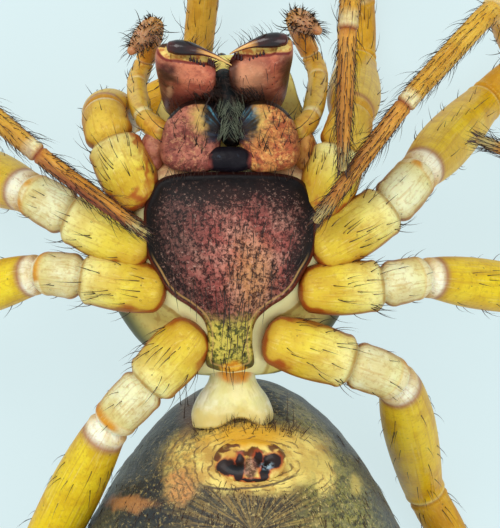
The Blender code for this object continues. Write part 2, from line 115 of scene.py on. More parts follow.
def along(points, place):
    """The value of a smooth curve through (place, value) points, which are sorted by place."""
    if place <= points[0][0]:
        return points[0][1]
    if place >= points[-1][0]:
        return points[-1][1]
    index = next(i for i in range(1, len(points)) if points[i][0] >= place)
    (x0, y0), (x1, y1) = points[index - 1], points[index]
    before = points[max(index - 2, 0)]
    after = points[min(index + 1, len(points) - 1)]
    width = x1 - x0
    slope = (y1 - y0) / width
    slope0 = limited((y1 - before[1]) / (x1 - before[0]), slope)
    slope1 = limited((after[1] - y0) / (after[0] - x0), slope)
    t = (place - x0) / width
    return (
        (2 * t**3 - 3 * t**2 + 1) * y0 + (t**3 - 2 * t**2 + t) * width * slope0
        + (3 * t**2 - 2 * t**3) * y1 + (t**3 - t**2) * width * slope1
    )


def bell(distance, width):
    """A smooth hump, 1 in its middle."""
    return math.exp(-(distance / width) ** 2)


def rough(point, scale):
    """Noise between about -1 and 1 that depends on the place alone."""
    return noise.noise(Vector(point) * scale)


print("half way between 0 and 1:", along([(0, 0), (1, 1)], 0.5))

# %% [markdown]
# ## Skins
#
# Every rounded piece starts as a flat grid. Rolling the grid up like a sheet of paper, sewing the two
# long edges and pinching the ends gives a closed skin, and the sheet keeps its flat map for later.
# Numbers that a material needs, such as how far down a leg a point lies, are stored on the corners.


# %% Rolling a grid into a skin
def face_out(bm):
    """Turns all faces of a closed mesh outwards."""
    bmesh.ops.recalc_face_normals(bm, faces=bm.faces)
    if bm.calc_volume(signed=True) < 0:
        bmesh.ops.reverse_faces(bm, faces=bm.faces)


def skin(around, rows, place, marks=()):
    """A grid rolled up by place(u, v), which gives a corner's x, y, z and then its marks."""
    bm = bmesh.new()
    flat = bm.loops.layers.uv.new("Skin")
    layers = [bm.verts.layers.float.new(mark) for mark in marks]
    bmesh.ops.create_grid(bm, x_segments=around, y_segments=rows, size=0.5)
    for face in bm.faces:
        for loop in face.loops:
            loop[flat].uv = (loop.vert.co.x + 0.5, loop.vert.co.y + 0.5)
    for vert in bm.verts:
        values = place(vert.co.x + 0.5, vert.co.y + 0.5)
        vert.co = values[:3]
        for layer, value in zip(layers, values[3:]):
            vert[layer] = value
    bmesh.ops.remove_doubles(bm, verts=bm.verts, dist=1e-6)
    face_out(bm)
    return bm


def shown(name, mesh, material):
    """Puts a mesh into the scene, riding on the one body."""
    mesh.materials.append(material)
    obj = bpy.data.objects.new(name, mesh)
    bpy.context.scene.collection.objects.link(obj)
    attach(obj, "root")
    print(name, len(mesh.polygons), "faces")
    return obj


def piece(name, bm, material, nodes=()):
    """Makes a finished piece of a mesh in millimetres, in place of the solids it stands for."""
    bm.transform(TO_METRES)
    mesh = bpy.data.meshes.new(name)
    bm.to_mesh(mesh)
    bm.free()
    mesh.shade_smooth()
    obj = shown(name, mesh, material)
    if nodes:
        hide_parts(*nodes)


print("skins are ready")

# %% [markdown]
# ## Finishes
#
# A finish is built in layers, as a painter would: a ground colour, larger patches, then fine mottling,
# and last a little relief. The class below only shortens the wiring of shader nodes. Colours are
# written as on a screen and turned into the linear values that the shader wants.


# %% A small paint box
def tint(code):
    """A screen colour such as C08030 as linear red, green, blue and alpha."""
    parts = [int(code[i:i + 2], 16) / 255 for i in (0, 2, 4)]
    return (*[p / 12.92 if p <= 0.04045 else ((p + 0.055) / 1.055) ** 2.4 for p in parts], 1.0)


class Finish:
    """One procedural material, on places in millimetres."""

    def __init__(self, name, roughness, gloss=0.5, soak=None, **sockets):
        """Soak is how light spreads under the surface: how much of it, in which colours, how deep in mm."""
        self.material = bpy.data.materials.new(name)
        self.material.use_nodes = True
        self.tree = self.material.node_tree
        self.shader = self.tree.nodes["Principled BSDF"]
        sockets.update(Roughness=roughness, Specular_IOR_Level=gloss)
        if soak:
            share, colours, depth = soak
            sockets.update(Subsurface_Weight=share, Subsurface_Radius=colours, Subsurface_Scale=depth * MM)
        for socket, value in sockets.items():
            self.shader.inputs[socket.replace("_", " ")].default_value = value
        place = self.node("TexCoord").outputs["Object"]
        self.mm = self.moved(place, (-SHIFT.x / MM, -SHIFT.y / MM, 0), (1 / MM,) * 3)

    def node(self, kind, inputs=None, **settings):
        made = self.tree.nodes.new("ShaderNode" + kind)
        for key, value in settings.items():
            setattr(made, key, value)
        for key, value in (inputs or {}).items():
            if isinstance(value, bpy.types.NodeSocket):
                self.tree.links.new(value, made.inputs[key])
            else:
                made.inputs[key].default_value = tint(value) if isinstance(value, str) else value
        return made

    def moved(self, place, offset, scale):
        return self.node("Mapping", {0: place, 1: offset, 3: scale}).outputs[0]

    def vector(self, kind, a, b=(0, 0, 0)):
        made = self.node("VectorMath", {0: a, 1: b}, operation=kind)
        return made.outputs["Value" if kind == "LENGTH" else 0]

    def calc(self, kind, a, b=0.0):
        return self.node("Math", {0: a, 1: b}, operation=kind).outputs[0]

    def times(self, value, *others):
        for other in others:
            value = self.calc("MULTIPLY", value, other)
        return value

    def plus(self, a, b):
        return self.calc("ADD", a, b)

    def highest(self, a, b):
        return self.calc("MAXIMUM", a, b)

    def size(self, value, middle=0.0):
        """How far a value lies from a middle, on either side of it."""
        return self.calc("ABSOLUTE", self.calc("SUBTRACT", value, middle))

    def span(self, value, low, high, least=0.0, most=1.0):
        """Turns values from low to high smoothly into least to most."""
        return self.node("MapRange", {0: value, 1: low, 2: high, 3: least, 4: most},
                         interpolation_type="SMOOTHSTEP").outputs[0]

    def line(self, value, middle, outside, inside):
        """A soft line where a value passes its middle."""
        return self.span(self.size(value, middle), outside, inside)

    def mark(self, name):
        return self.node("Attribute", attribute_name=name).outputs["Fac"]

    def axis(self, letter):
        return self.node("SeparateXYZ", {0: self.mm}).outputs[letter]

    def flat(self, u, v):
        """The skin's own flat map, stretched by u and v."""
        return self.moved(self.node("UVMap", uv_map="Skin").outputs[0], (0, 0, 0), (u, v, 1))

    def fan(self, centre, ribs, length):
        """Places for a noise whose grain runs out from a point like the ribs of a fan."""
        near = self.moved(self.mm, (-centre[0], -centre[1], 0), (1, 1, 0))
        way = self.vector("MULTIPLY", self.vector("NORMALIZE", near), (ribs,) * 3)
        rise = self.times(self.vector("LENGTH", near), length)
        return self.vector("ADD", way, self.node("CombineXYZ", {2: rise}).outputs[0])

    def noise(self, scale, detail=3.0, roughness=0.55, place=None):
        return self.node("TexNoise", {"Vector": place or self.mm, "Scale": scale, "Detail": detail,
                                      "Roughness": roughness}).outputs[0]

    def specks(self, scale, low, high, detail=3.0, roughness=0.55, most=1.0, place=None):
        """Specks where a noise passes from low to high."""
        return self.span(self.noise(scale, detail, roughness, place), low, high, 0.0, most)

    def shake(self, scale, size, detail=3.0):
        """A noise round 0, which makes an edge uneven."""
        return self.times(self.calc("SUBTRACT", self.noise(scale, detail), 0.5), size)

    def rings(self, scale, middle, outside, inside):
        """A thin ring round each of many scattered points."""
        away = self.node("TexVoronoi", {"Vector": self.mm, "Scale": scale}, feature="F1").outputs["Distance"]
        return self.line(away, middle, outside, inside)

    def spot(self, centre, radii, soft=0.4, wobble=None):
        """1 inside a soft oval round a place in the picture's plane, 0 outside."""
        (x, y), (rx, ry) = centre, radii
        place = self.mm
        if wobble:
            shake = self.node("TexNoise", {"Vector": self.mm, "Scale": wobble[0], "Detail": 3.0}).outputs[1]
            shake = self.vector("SUBTRACT", shake, (0.5, 0.5, 0.5))
            place = self.vector("ADD", place, self.vector("MULTIPLY", shake, (wobble[1],) * 3))
        away = self.vector("LENGTH", self.moved(place, (-x / rx, -y / ry, 0), (1 / rx, 1 / ry, 0)))
        return self.span(away, 1 + soft, 1 - soft)

    def ramp(self, value, *stops):
        made = self.node("ValToRGB", {0: value})
        elements = made.color_ramp.elements
        while len(elements) < len(stops):
            elements.new(0.5)
        for element, (position, colour) in zip(elements, stops):
            element.position = position
            element.color = tint(colour)
        return made.outputs[0]

    def mix(self, share, a, b, blend="MIX"):
        return self.node("Mix", {0: share, 6: a, 7: b}, data_type="RGBA", blend_type=blend).outputs[2]

    def paint(self, colour):
        """Makes this the finish's colour so far."""
        self.colour = colour
        self.tree.links.new(colour, self.shader.inputs["Base Color"])

    def lay(self, colour, share, amount=1.0, blend="MIX"):
        """Lays a colour over the finish so far, where share is 1, and as thick as amount says."""
        self.paint(self.mix(self.times(share, amount) if amount < 1 else share, self.colour, colour, blend))

    def relief(self, height, depth, strength=0.6):
        """Bumps of this depth in millimetres, where height runs from 0 to 1."""
        made = self.node("Bump", {"Height": height, "Distance": depth * MM, "Strength": strength})
        self.tree.links.new(made.outputs[0], self.shader.inputs["Normal"])
        return self.material


print("half grey is", round(tint("808080")[0], 3))

# %% [markdown]
# ## Bristles
#
# A spider's bristle is a thin tapered rod, sunk in a socket and bent towards the end of the limb.
# Particle hair would be lost when the model is exported, so one three-sided rod is made with bmesh
# and copied with numpy to every root. Each copy keeps a small patch of a map at its root's place.


# %% One bristle and how it is planted
def bristle_shape(levels):
    """Corners (around, around, along) and faces of one closed rod."""
    bm = bmesh.new()
    bmesh.ops.create_cone(bm, cap_ends=True, segments=3, radius1=1, radius2=1, depth=1)
    long = [edge for edge in bm.edges if abs(edge.verts[0].co.z - edge.verts[1].co.z) > 0.5]
    bmesh.ops.subdivide_edges(bm, edges=long, cuts=levels - 1)
    tip = [vert for vert in bm.verts if vert.co.z > 0.49]
    bmesh.ops.pointmerge(bm, verts=tip, merge_co=Vector((0, 0, 0.5)))
    face_out(bm)
    bm.verts.index_update()
    corners = np.array([vert.co for vert in bm.verts])
    corners[:, 2] += 0.5
    faces = [[vert.index for vert in face.verts] for face in bm.faces]
    bm.free()
    return corners, faces


BRISTLE = bristle_shape(4)
PATCH = 0.003
LOWEST = 0.001


def coat(name, hairs, material):
    """Plants bristles: each is its root, direction, bend, length, radius and place on the skin's map."""
    corners, faces = BRISTLE
    roots, ways, bends, lengths, radii, maps = (np.array(column, float) for column in zip(*hairs))
    lengths, radii = lengths[:, None, None], radii[:, None, None]
    ways /= np.linalg.norm(ways, axis=1)[:, None]
    side = np.cross(ways, np.where(np.abs(ways[:, 2:]) < 0.9, [[0, 0, 1.0]], [[1.0, 0, 0]]))
    side /= np.linalg.norm(side, axis=1)[:, None]
    other = np.cross(ways, side)
    t = corners[None, :, 2:]
    thin = (1 - t) ** 0.7
    points = (
        roots[:, None] + ways[:, None] * t * lengths + bends[:, None] * t**2 * lengths
        + (side[:, None] * corners[None, :, :1] + other[:, None] * corners[None, :, 1:2]) * radii * thin
    )
    points[:, :, 2] = np.maximum(points[:, :, 2], LOWEST)
    points = points.reshape(-1, 3) * MM + np.array(SHIFT)
    loops = np.array([index for face in faces for index in face])
    sizes = np.array([len(face) for face in faces])
    starts = np.concatenate([[0], np.cumsum(sizes)[:-1]])
    step = np.arange(len(hairs))[:, None]
    mesh = bpy.data.meshes.new(name)
    mesh.vertices.add(len(points))
    mesh.vertices.foreach_set("co", points.astype(np.float32).ravel())
    mesh.loops.add(len(loops) * len(hairs))
    mesh.loops.foreach_set("vertex_index", (loops[None] + step * len(corners)).astype(np.int32).ravel())
    mesh.polygons.add(len(faces) * len(hairs))
    mesh.polygons.foreach_set("loop_start", (starts[None] + step * len(loops)).astype(np.int32).ravel())
    mesh.update(calc_edges=True)
    own = np.stack([corners[loops, 0] * 0.25 + 0.25, corners[loops, 2]], 1) - 0.5
    layer = mesh.uv_layers.new(name="OFBake")
    layer.data.foreach_set("uv", np.clip(maps[:, None] + own[None] * PATCH, 0, 1).astype(np.float32).ravel())
    mesh.validate()
    mesh.shade_smooth()
    shown(name, mesh, material)


print("one bristle has", len(BRISTLE[1]), "faces")

# %% [markdown]
# ## The line of a limb
#
# A leg has seven segments: coxa, trochanter, femur, patella, tibia, metatarsus and tarsus. Its joints
# are listed from root to tip. Between them the line is straight, and each corner is rounded. Walking
# down that line gives rings, each with a middle, a direction, a thickness and its place on the leg,
# where 2.5 means half way along the third segment.

# %% Joints of the legs and palps
KNEE_Z = 0.058
CORNER = 0.12
CORNER_SHARE = 0.48
ROOT_PLACE = 0.3
CAP_STEPS = 6
PINCH_DEPTH, PINCH_WIDTH = 0.17, 0.13
LIP_HEIGHT, LIP_PLACE, LIP_WIDTH = 0.05, 0.36, 0.15
LEG_RADII = [
    (0.090, 0.103, 0.088), (0.078, 0.084, 0.072), (0.070, 0.096, 0.070), (0.068, 0.070, 0.060),
    (0.052, 0.056, 0.048), (0.040, 0.038, 0.034), (0.031, 0.030, 0.017),
]
LEGS = {
    "leg_left_1": (1.00, [
        (0.322, 0.213, 1.0), (0.394, 0.410, 0.985), (0.430, 0.520, 0.90), (0.455, 0.708, KNEE_Z),
        (0.457, 0.985, KNEE_Z), (0.476, 1.386, 0.84), (0.410, 0.823, 1.235), (0.392, 0.336, 1.250)]),
    "leg_left_2": (1.00, [
        (0.333, 0.056, 1.0), (0.567, 0.203, 0.985), (0.665, 0.322, 0.90), (0.910, 0.581, KNEE_Z),
        (1.064, 0.714, KNEE_Z), (0.938, 0.917, 0.90), (0.609, 0.560, 1.20), (0.304, 0.154, 1.19)]),
    "leg_left_3": (0.95, [
        (0.287, -0.088, 1.0), (0.546, -0.077, 0.985), (0.679, -0.042, 0.93), (1.218, -0.116, 0.33),
        (1.435, -0.126, 0.34), (1.547, 0.147, 0.84), (1.260, 0.280, 1.30), (0.865, 0.430, 1.38)]),
    "leg_left_4": (1.00, [
        (0.168, -0.270, 1.0), (0.434, -0.350, 0.985), (0.595, -0.406, 0.91), (0.697, -0.819, KNEE_Z),
        (0.826, -1.036, KNEE_Z), (1.008, -1.393, 0.76), (0.682, -1.498, 1.26), (0.360, -1.351, 1.44)]),
    "leg_right_1": (1.00, [
        (-0.326, 0.245, 1.0), (-0.423, 0.441, 0.985), (-0.448, 0.532, 0.89), (-0.399, 0.525, KNEE_Z),
        (-0.130, 0.661, KNEE_Z), (-0.049, 1.431, 0.46), (-0.021, 1.379, 1.03), (-0.004, 1.036, 1.33)]),
    "leg_right_2": (1.00, [
        (-0.322, 0.060, 1.0), (-0.574, 0.175, 0.985), (-0.707, 0.252, 0.91), (-1.068, 0.399, KNEE_Z),
        (-1.278, 0.483, KNEE_Z), (-1.050, 0.707, 0.90), (-0.672, 0.385, 1.20), (-0.304, 0.112, 1.19)]),
    "leg_right_3": (0.95, [
        (-0.270, -0.088, 1.0), (-0.532, -0.045, 0.985), (-0.665, -0.028, 0.93), (-1.225, -0.189, 0.38),
        (-1.442, -0.189, 0.39), (-1.582, 0.049, 0.86), (-1.347, 0.416, 1.24), (-1.036, 0.697, 1.38)]),
    "leg_right_4": (1.00, [
        (-0.140, -0.259, 1.0), (-0.294, -0.427, 0.985), (-0.425, -0.560, 0.93), (-0.765, -1.218, 0.34),
        (-0.815, -1.484, 0.33), (-0.915, -1.859, 1.00), (-0.542, -1.491, 1.36), (-0.280, -1.141, 1.46)]),
}
PALP_RADII = [
    (0.038, 0.040, 0.034), (0.034, 0.038, 0.034), (0.034, 0.036, 0.032), (0.033, 0.037, 0.036),
    (0.036, 0.039, 0.016),
]
PALPS = {
    "left": [
        (0.238, 0.462, 1.0), (0.287, 0.511, 0.92), (0.318, 0.666, 0.62), (0.290, 0.740, 0.54),
        (0.218, 0.886, 0.70), (0.308, 0.819, 1.01)],
    "right": [
        (-0.238, 0.462, 1.0), (-0.308, 0.511, 0.92), (-0.338, 0.640, 0.62), (-0.306, 0.714, 0.54),
        (-0.259, 0.865, 0.70), (-0.346, 0.749, 1.00)],
}
print("limbs:", len(LEGS) + len(PALPS))


# %% Walking down a limb
def corner(start, middle, end, t):
    """A point and direction on a rounded corner."""
    point = start * (1 - t) ** 2 + middle * 2 * t * (1 - t) + end * t * t
    ahead = (middle - start) * (1 - t) + (end - middle) * t
    return point, ahead.normalized()


def limb_point(joints, segment, share):
    """A point and direction on a limb whose corners are rounded, share of the way along a segment."""
    start, end = joints[segment], joints[segment + 1]
    length = (end - start).length
    ahead = (end - start) / length
    reach = min(CORNER, CORNER_SHARE * length) / length
    if share > 1 - reach and segment + 2 < len(joints):
        after = joints[segment + 2] - end
        join = after.normalized() * min(CORNER, CORNER_SHARE * after.length)
        return corner(end - ahead * reach * length, end, end + join, 0.5 * (share - 1 + reach) / reach)
    if share < reach and segment > 0:
        before = start - joints[segment - 1]
        arrive = before.normalized() * min(CORNER, CORNER_SHARE * before.length)
        return corner(start - arrive, start, start + ahead * reach * length, 0.5 + 0.5 * share / reach)
    return start + (end - start) * share, ahead


def segment_radius(sizes, share):
    """The thickness along a segment: narrow at both joints, full between them."""
    start, full, end = sizes
    if share < 0.4:
        return start + (full - start) * math.sin(math.pi / 2 * share / 0.4)
    return full + (end - full) * (1 - math.cos(math.pi / 2 * (share - 0.4) / 0.6))


def limb_rows(joints, radii, scale, steps):
    """Rings down a limb, pinched where soft skin joins two segments, with a lip on either side."""
    joints = [Vector(joint) for joint in joints]
    last = len(joints) - 2
    rows = []
    for segment in range(last + 1):
        length = (joints[segment + 1] - joints[segment]).length
        for i in range(0 if segment == 0 else 1, steps + 1):
            share = 0.5 - 0.5 * math.cos(math.pi * i / steps)
            point, ahead = limb_point(joints, segment, share)
            radius = segment_radius(radii[segment], share) * scale
            near = [share * length] if segment > 0 else []
            near += [(1 - share) * length] if segment < last else []
            size = radii[segment][0]
            for away in near:
                radius -= size * PINCH_DEPTH * bell(away, size * PINCH_WIDTH)
                radius += size * LIP_HEIGHT * bell(away - size * LIP_PLACE, size * LIP_WIDTH)
            rows.append((point, ahead, radius, segment + share))
    return close_ends(rows, 0.6, 0.8)


def close_ends(rows, root_cap, tip_cap, steps=CAP_STEPS):
    """Rounds off the first and the last ring. Places run on below 0 on the first one's cap."""
    point, ahead, radius, place = rows[0]
    point2, ahead2, radius2, place2 = rows[-1]
    root, tip = [], []
    for i in range(steps):
        turn = math.pi / 2 * i / steps
        back = ahead * radius * root_cap * math.cos(turn)
        root.append((point - back, ahead, radius * math.sin(turn), place - ROOT_PLACE * math.cos(turn)))
        turn = math.pi / 2 * (i + 1) / steps
        on = ahead2 * radius2 * tip_cap * math.sin(turn)
        tip.append((point2 + on, ahead2, radius2 * math.cos(turn), place2))
    return root + rows + tip


def framed(rows):
    """Rows with two directions square to the line, carried down it without twist."""
    across = rows[0][1].orthogonal().normalized()
    result = []
    for middle, ahead, radius, place in rows:
        across = (across - ahead * across.dot(ahead)).normalized()
        result.append((middle, across, ahead.cross(across), radius, place))
    return result


def tube(rows, around):
    """A closed skin round a limb's rows, which remembers its place and how far it faces the belly side."""
    frames = framed(rows)
    last = len(frames) - 1

    def place(u, v):
        middle, across, other, radius, spot = frames[round(v * last)]
        out = across * math.cos(2 * math.pi * u) + other * math.sin(2 * math.pi * u)
        point = middle + out * radius
        level = math.sqrt(max(0.0, 1 - (min(0.0, spot) / ROOT_PLACE) ** 2))
        return point.x, point.y, max(point.z, 0.0), spot, out.z * level

    return skin(around, last, place, ("place", "up"))


print("rings on a leg:", len(limb_rows(LEGS["leg_left_1"][1], LEG_RADII, 1.0, 28)))

# %% [markdown]
# ## The finish of the legs
#
# The shell of a leg is golden and lets light through. Its sides are painted darker and warmer, a painted
# shade for the light that passes through the shell, and pale streaks along it are painted highlights. The
# coxa has a thin red-brown rim round its root, partly painted shade where the root turns away from above, the
# trochanter is cream with a broken orange band, and then comes white soft skin. The feet are orange brown,
# with painted maroon shade on the sides that face the animal's right, strongest on the right legs. One ramp
# on the place along the leg holds all bands. Fine lines, ring-shaped sockets and red-brown spots on the front
# coxae are laid over it.

# %% Leg finish
LEG_BANDS = (
    (-0.30, "D8B43C"), (0.12, "DEC03A"), (0.38, "E6CE4A"), (0.70, "ECDC7A"), (0.92, "EAE09A"),
    (0.975, "B08434"), (1.01, "E6E2B4"), (1.40, "EAE6BA"), (1.72, "E6DC9C"), (1.82, "DD9C30"),
    (1.88, "D8942C"), (1.92, "F4F0D2"), (2.05, "F8F5DE"), (2.07, "A8642E"), (2.10, "ECD030"),
    (2.50, "EECA0C"), (2.96, "E4B410"), (3.00, "F0E2B0"), (3.04, "DCA828"), (3.96, "DCA828"),
    (4.00, "EFE0B0"), (4.04, "E0B040"), (4.96, "E0B040"), (5.00, "F0E4B4"), (5.03, "E4B440"),
    (5.90, "DEA83C"), (5.93, "F0E4B0"), (5.985, "F0E4B0"), (6.00, "9A4A22"), (6.04, "DEA040"),
    (6.80, "CC8C3A"), (6.94, "CDBA78"),
)
FRONT_BANDS = tuple((place, "E0BC48" if 1.0 < place < 2.06 else colour) for place, colour in LEG_BANDS)
RED_BROWN_SPOTS = (
    (seen(137, 140), (0.014, 0.050)), (seen(148, 168), (0.018, 0.070)), (seen(140, 198), (0.060, 0.020)),
    (seen(322, 206), (0.050, 0.024)),
)


def banded(finish, bands, segments):
    """Colour bands down a limb, from its root cap on. A ramp holds 32 stops at most."""
    whole = segments + ROOT_PLACE
    place = finish.calc("DIVIDE", finish.plus(finish.mark("place"), ROOT_PLACE), whole)
    return finish.ramp(place, *[((position + ROOT_PLACE) / whole, colour) for position, colour in bands])


def leg_finish(name, bands, red_spots=()):
    f = Finish(name, 0.40, 0.16, (0.30, (1.0, 0.7, 0.25), 0.05))
    place, up = f.mark("place"), f.mark("up")
    lines = f.specks(1.0, 0.52, 0.66, place=f.flat(60, 16))
    streaks = f.specks(1.0, 0.46, 0.66, 3.0, 0.6, place=f.flat(26, 80))
    east = f.node("SeparateXYZ", {0: f.node("NewGeometry").outputs["Normal"]}).outputs[0]
    right_side = f.span(f.axis("X"), 0.05, -0.20, 0.3, 0.85)
    shake = f.plus(f.shake(16.0, 0.55), f.shake(7.0, 0.5, 1.0))
    root, wall = f.span(f.plus(place, shake), 0.40, 0.0), f.plus(up, shake)
    f.paint(banded(f, bands, 7))
    f.lay("D4AE36", f.specks(9.0, 0.42, 0.62, 4.0, 0.6), 0.44, "MULTIPLY")
    f.lay("E8E0B0", f.times(f.line(place, 1.84, 0.10, 0.05), f.specks(5.0, 0.53, 0.46, 2.0)), 0.85)
    f.lay("B07E24", f.specks(64.0, 0.52, 0.64, 4.0, 0.7), 0.34)
    f.lay("BE8630", lines, 0.34)
    # Pale streaks along the shell: painted highlights.
    f.lay("FBF4BC", f.specks(1.0, 0.56, 0.70, 2.0, 0.5, place=f.flat(70, 60)), 0.13)
    f.lay("6E6430", f.rings(20.0, 0.064, 0.026, 0.010), 0.70)
    f.lay("924818", f.times(streaks, f.span(place, 5.2, 6.3)), 0.45)
    # Painted maroon shade on the sides of the feet that face the animal's right, strongest on the right legs.
    f.lay("7A3234", f.times(f.span(east, 0.30, -0.50), f.span(place, 5.4, 6.5), right_side))
    # Painted shade: the sides of the last segments are darker.
    f.lay("8A4218", f.times(f.span(up, 0.72, 0.15), f.span(place, 4.9, 6.3)), 0.36)
    # Painted shade: the sides are darker and warmer than the face turned up, most on the coxa and trochanter.
    f.lay("DCA640", f.times(f.span(up, 0.75, 0.05), f.span(place, 1.9, 2.3, 0.72, 0.36)), 1.0, "MULTIPLY")
    # The red-brown rim round the coxa's root: partly its own colour, partly painted shade where the root cap
    # turns away from above.
    f.lay("CC9A30", f.times(f.span(wall, 0.98, 0.70), root), 0.55)
    f.lay("9E3A16", f.times(f.span(wall, 0.68, 0.48), root), 0.88)
    # Painted shade: a dark outline along the sides of the coxa and trochanter.
    f.lay("98561C", f.times(f.span(wall, 0.46, 0.24), f.span(place, 2.2, 1.0)), 0.74)
    for centre, radii in red_spots:
        f.lay("A8461E", f.times(f.spot(centre, radii, 0.8, (22.0, 0.12)), f.span(place, 1.02, 0.9)), 0.85)
    return f.relief(f.plus(f.times(lines, 0.6), f.noise(60.0, 2.0)), 0.0022)


LEG_SKIN = leg_finish("leg_skin", LEG_BANDS)
FRONT_LEG_SKIN = leg_finish("front_leg_skin", FRONT_BANDS, RED_BROWN_SPOTS)
print("bands on a leg:", len(LEG_BANDS))

# %% [markdown]
# ## Bristle finishes
#
# Most bristles are nearly black, and the hair of the abdomen is brown. The brushes of the mouth are
# grey olive, and a small pale tuft ends each foot. Each is one of two tones of a slow noise, so that
# neighbours differ a little.


# %% Bristle finishes
def hair_finish(name, colour, other, roughness):
    f = Finish(name, roughness)
    f.paint(f.mix(f.noise(14.0), colour, other))
    return f.material


DARK_HAIR = hair_finish("bristle_dark", "1C0F0A", "3A2012", 0.35)
BROWN_HAIR = hair_finish("bristle_brown", "4A2A16", "2A160C", 0.4)
OLIVE_HAIR = hair_finish("hair_olive", "8C9276", "383E30", 0.5)
PALE_HAIR = hair_finish("hair_pale", "DDD29A", "A89658", 0.5)
CLAW_SHELL = hair_finish("claw_shell", "2A120A", "4A2210", 0.25)
print("bristle finishes ready")

# %% [markdown]
# ## The legs
#
# Each leg is one skin from its coxa to the tip of its tarsus, so no seam shows between the solids it
# replaces. Two small claws end it, with a pale tuft. Its bristles stand in rows on the last three
# segments and loosely on the others, and they lean and bend towards the tip.


# %% Planting on a limb
SUNK = 0.96
SIDEWAYS = 0.2


def bristle_at(rng, frames, places, place, turn, lengths, lifts, radius):
    """One bristle at a place down the limb and a turn round it, and how far its root faces up."""
    index = min(max(int(np.searchsorted(places, place)), 1), len(frames) - 2)
    middle, across, other, thick, _ = frames[index]
    share = (place - places[index - 1]) / max(1e-9, places[index] - places[index - 1])
    middle = frames[index - 1][0].lerp(middle, share)
    out = across * math.cos(turn) + other * math.sin(turn)
    ahead = (frames[index + 1][0] - frames[index - 1][0]).normalized()
    lift = math.radians(rng.uniform(*lifts))
    way = ahead * math.cos(lift) + out * math.sin(lift)
    way += ahead.cross(out) * rng.uniform(-SIDEWAYS, SIDEWAYS)
    bend = (ahead - out * 0.8) * rng.uniform(0.20, 0.60)
    root = middle + out * thick * SUNK
    spot = (turn / (2 * math.pi) % 1.0, index / (len(frames) - 1))
    return (root, way, bend, rng.uniform(*lengths), radius * rng.uniform(0.8, 1.2), spot), out.z


def loosely(rng, frames, first, last, count, lengths, lifts, radius, upward=None):
    """Bristles anywhere between two places on a limb, or only where they point up."""
    places = [row[4] for row in frames]
    hairs = []
    while len(hairs) < count:
        place = rng.uniform(first, last)
        turn = rng.uniform(0, 2 * math.pi)
        hair, rise = bristle_at(rng, frames, places, place, turn, lengths, lifts, radius)
        if upward is None or hair[1].z * 0.5 + rise > upward:
            hairs.append(hair)
    return hairs


def in_rows(rng, frames, first, last, step, columns, lengths, lifts, radius):
    """Bristles in rows down a limb, as on a tarsus."""
    places = [row[4] for row in frames]
    hairs = []
    for column in range(columns):
        place = first + rng.uniform(0, step)
        while place < last:
            turn = 2 * math.pi * (column + rng.uniform(-0.22, 0.22)) / columns
            hairs.append(bristle_at(rng, frames, places, place, turn, lengths, lifts, radius)[0])
            place += step * rng.uniform(0.7, 1.3)
    return hairs


def plant(rng, frames, table):
    """All bristles of a table: from, to, a count or (step, rows), lengths, lifts, radius, upward."""
    hairs = []
    for first, last, how, *rest in table:
        if isinstance(how, tuple):
            hairs += in_rows(rng, frames, first, last, *how, *rest)
        else:
            hairs += loosely(rng, frames, first, last, how, *rest)
    return hairs


print("planting helpers ready")

# %% Build the legs
LEG_AROUND = 36
LEG_STEPS = 30
CLAW_REACH = 0.046
CLAW_RADIUS = 0.0064
LEG_BRISTLES = (
    (0.10, 0.94, 28, (0.045, 0.090), (25, 60), 0.0018, 0.0),
    (1.2, 1.85, 9, (0.03, 0.06), (30, 55), 0.0016),
    (2.15, 2.92, 50, (0.05, 0.09), (25, 55), 0.0015),
    (3.1, 3.9, 26, (0.04, 0.08), (20, 45), 0.0016),
    (4.08, 4.94, (0.085, 9), (0.05, 0.08), (20, 45), 0.0016),
    (4.15, 4.9, 10, (0.09, 0.13), (50, 75), 0.0016),
    (5.04, 5.90, (0.048, 10), (0.04, 0.07), (18, 42), 0.0015),
    (6.04, 6.98, (0.046, 10), (0.04, 0.065), (18, 42), 0.0015),
    (5.05, 6.95, 80, (0.06, 0.10), (35, 62), 0.0014),
    (6.86, 6.99, 16, (0.03, 0.05), (8, 30), 0.0014),
)
LEG_TUFT = ((6.84, 6.99, 44, (0.018, 0.032), (6, 35), 0.0012),)


def claw_rows(tip, ahead, side):
    """The middle line of one small hooked claw."""
    across = ahead.cross(Vector((0, 0, 1))).normalized() * side
    rows = []
    for i in range(9):
        t = i / 8
        point = tip + ahead * (CLAW_REACH * t - 0.006) + across * (0.006 + 0.012 * t)
        point -= Vector((0, 0, 0.016 * t * t))
        rows.append((point, ahead, CLAW_RADIUS * (1 - t) ** 0.6 + 0.0006, t))
    return rows


def build_leg(name, scale, joints):
    rng = random.Random(name)
    rows = limb_rows(joints, LEG_RADII, scale, LEG_STEPS)
    frames = framed(rows)
    nodes = [f"{name}_{part}" for part in ("coxa", "femur", "tibia", "foot")]
    skin_here = FRONT_LEG_SKIN if name.endswith("1") else LEG_SKIN
    piece(name, tube(rows, LEG_AROUND), skin_here, nodes)
    tip, ahead = rows[-1 - CAP_STEPS][:2]
    for side, word in ((-1, "a"), (1, "b")):
        claw = close_ends(claw_rows(tip, ahead, side), 0.8, 0.8, 3)
        piece(f"claw_{name}_{word}", tube(claw, 10), CLAW_SHELL)
    coat(f"bristles_{name}", plant(rng, frames, LEG_BRISTLES), DARK_HAIR)
    coat(f"tuft_{name}", plant(rng, frames, LEG_TUFT), PALE_HAIR)


for name, (scale, joints) in LEGS.items():
    build_leg(name, scale, joints)

# %% [markdown]
# ## The palps
#
# A palp is a small leg beside the mouth. Its tarsus points at the camera and carries a brush of
# dark bristles that stand out all round, with a few long spines. It is built as a leg is.

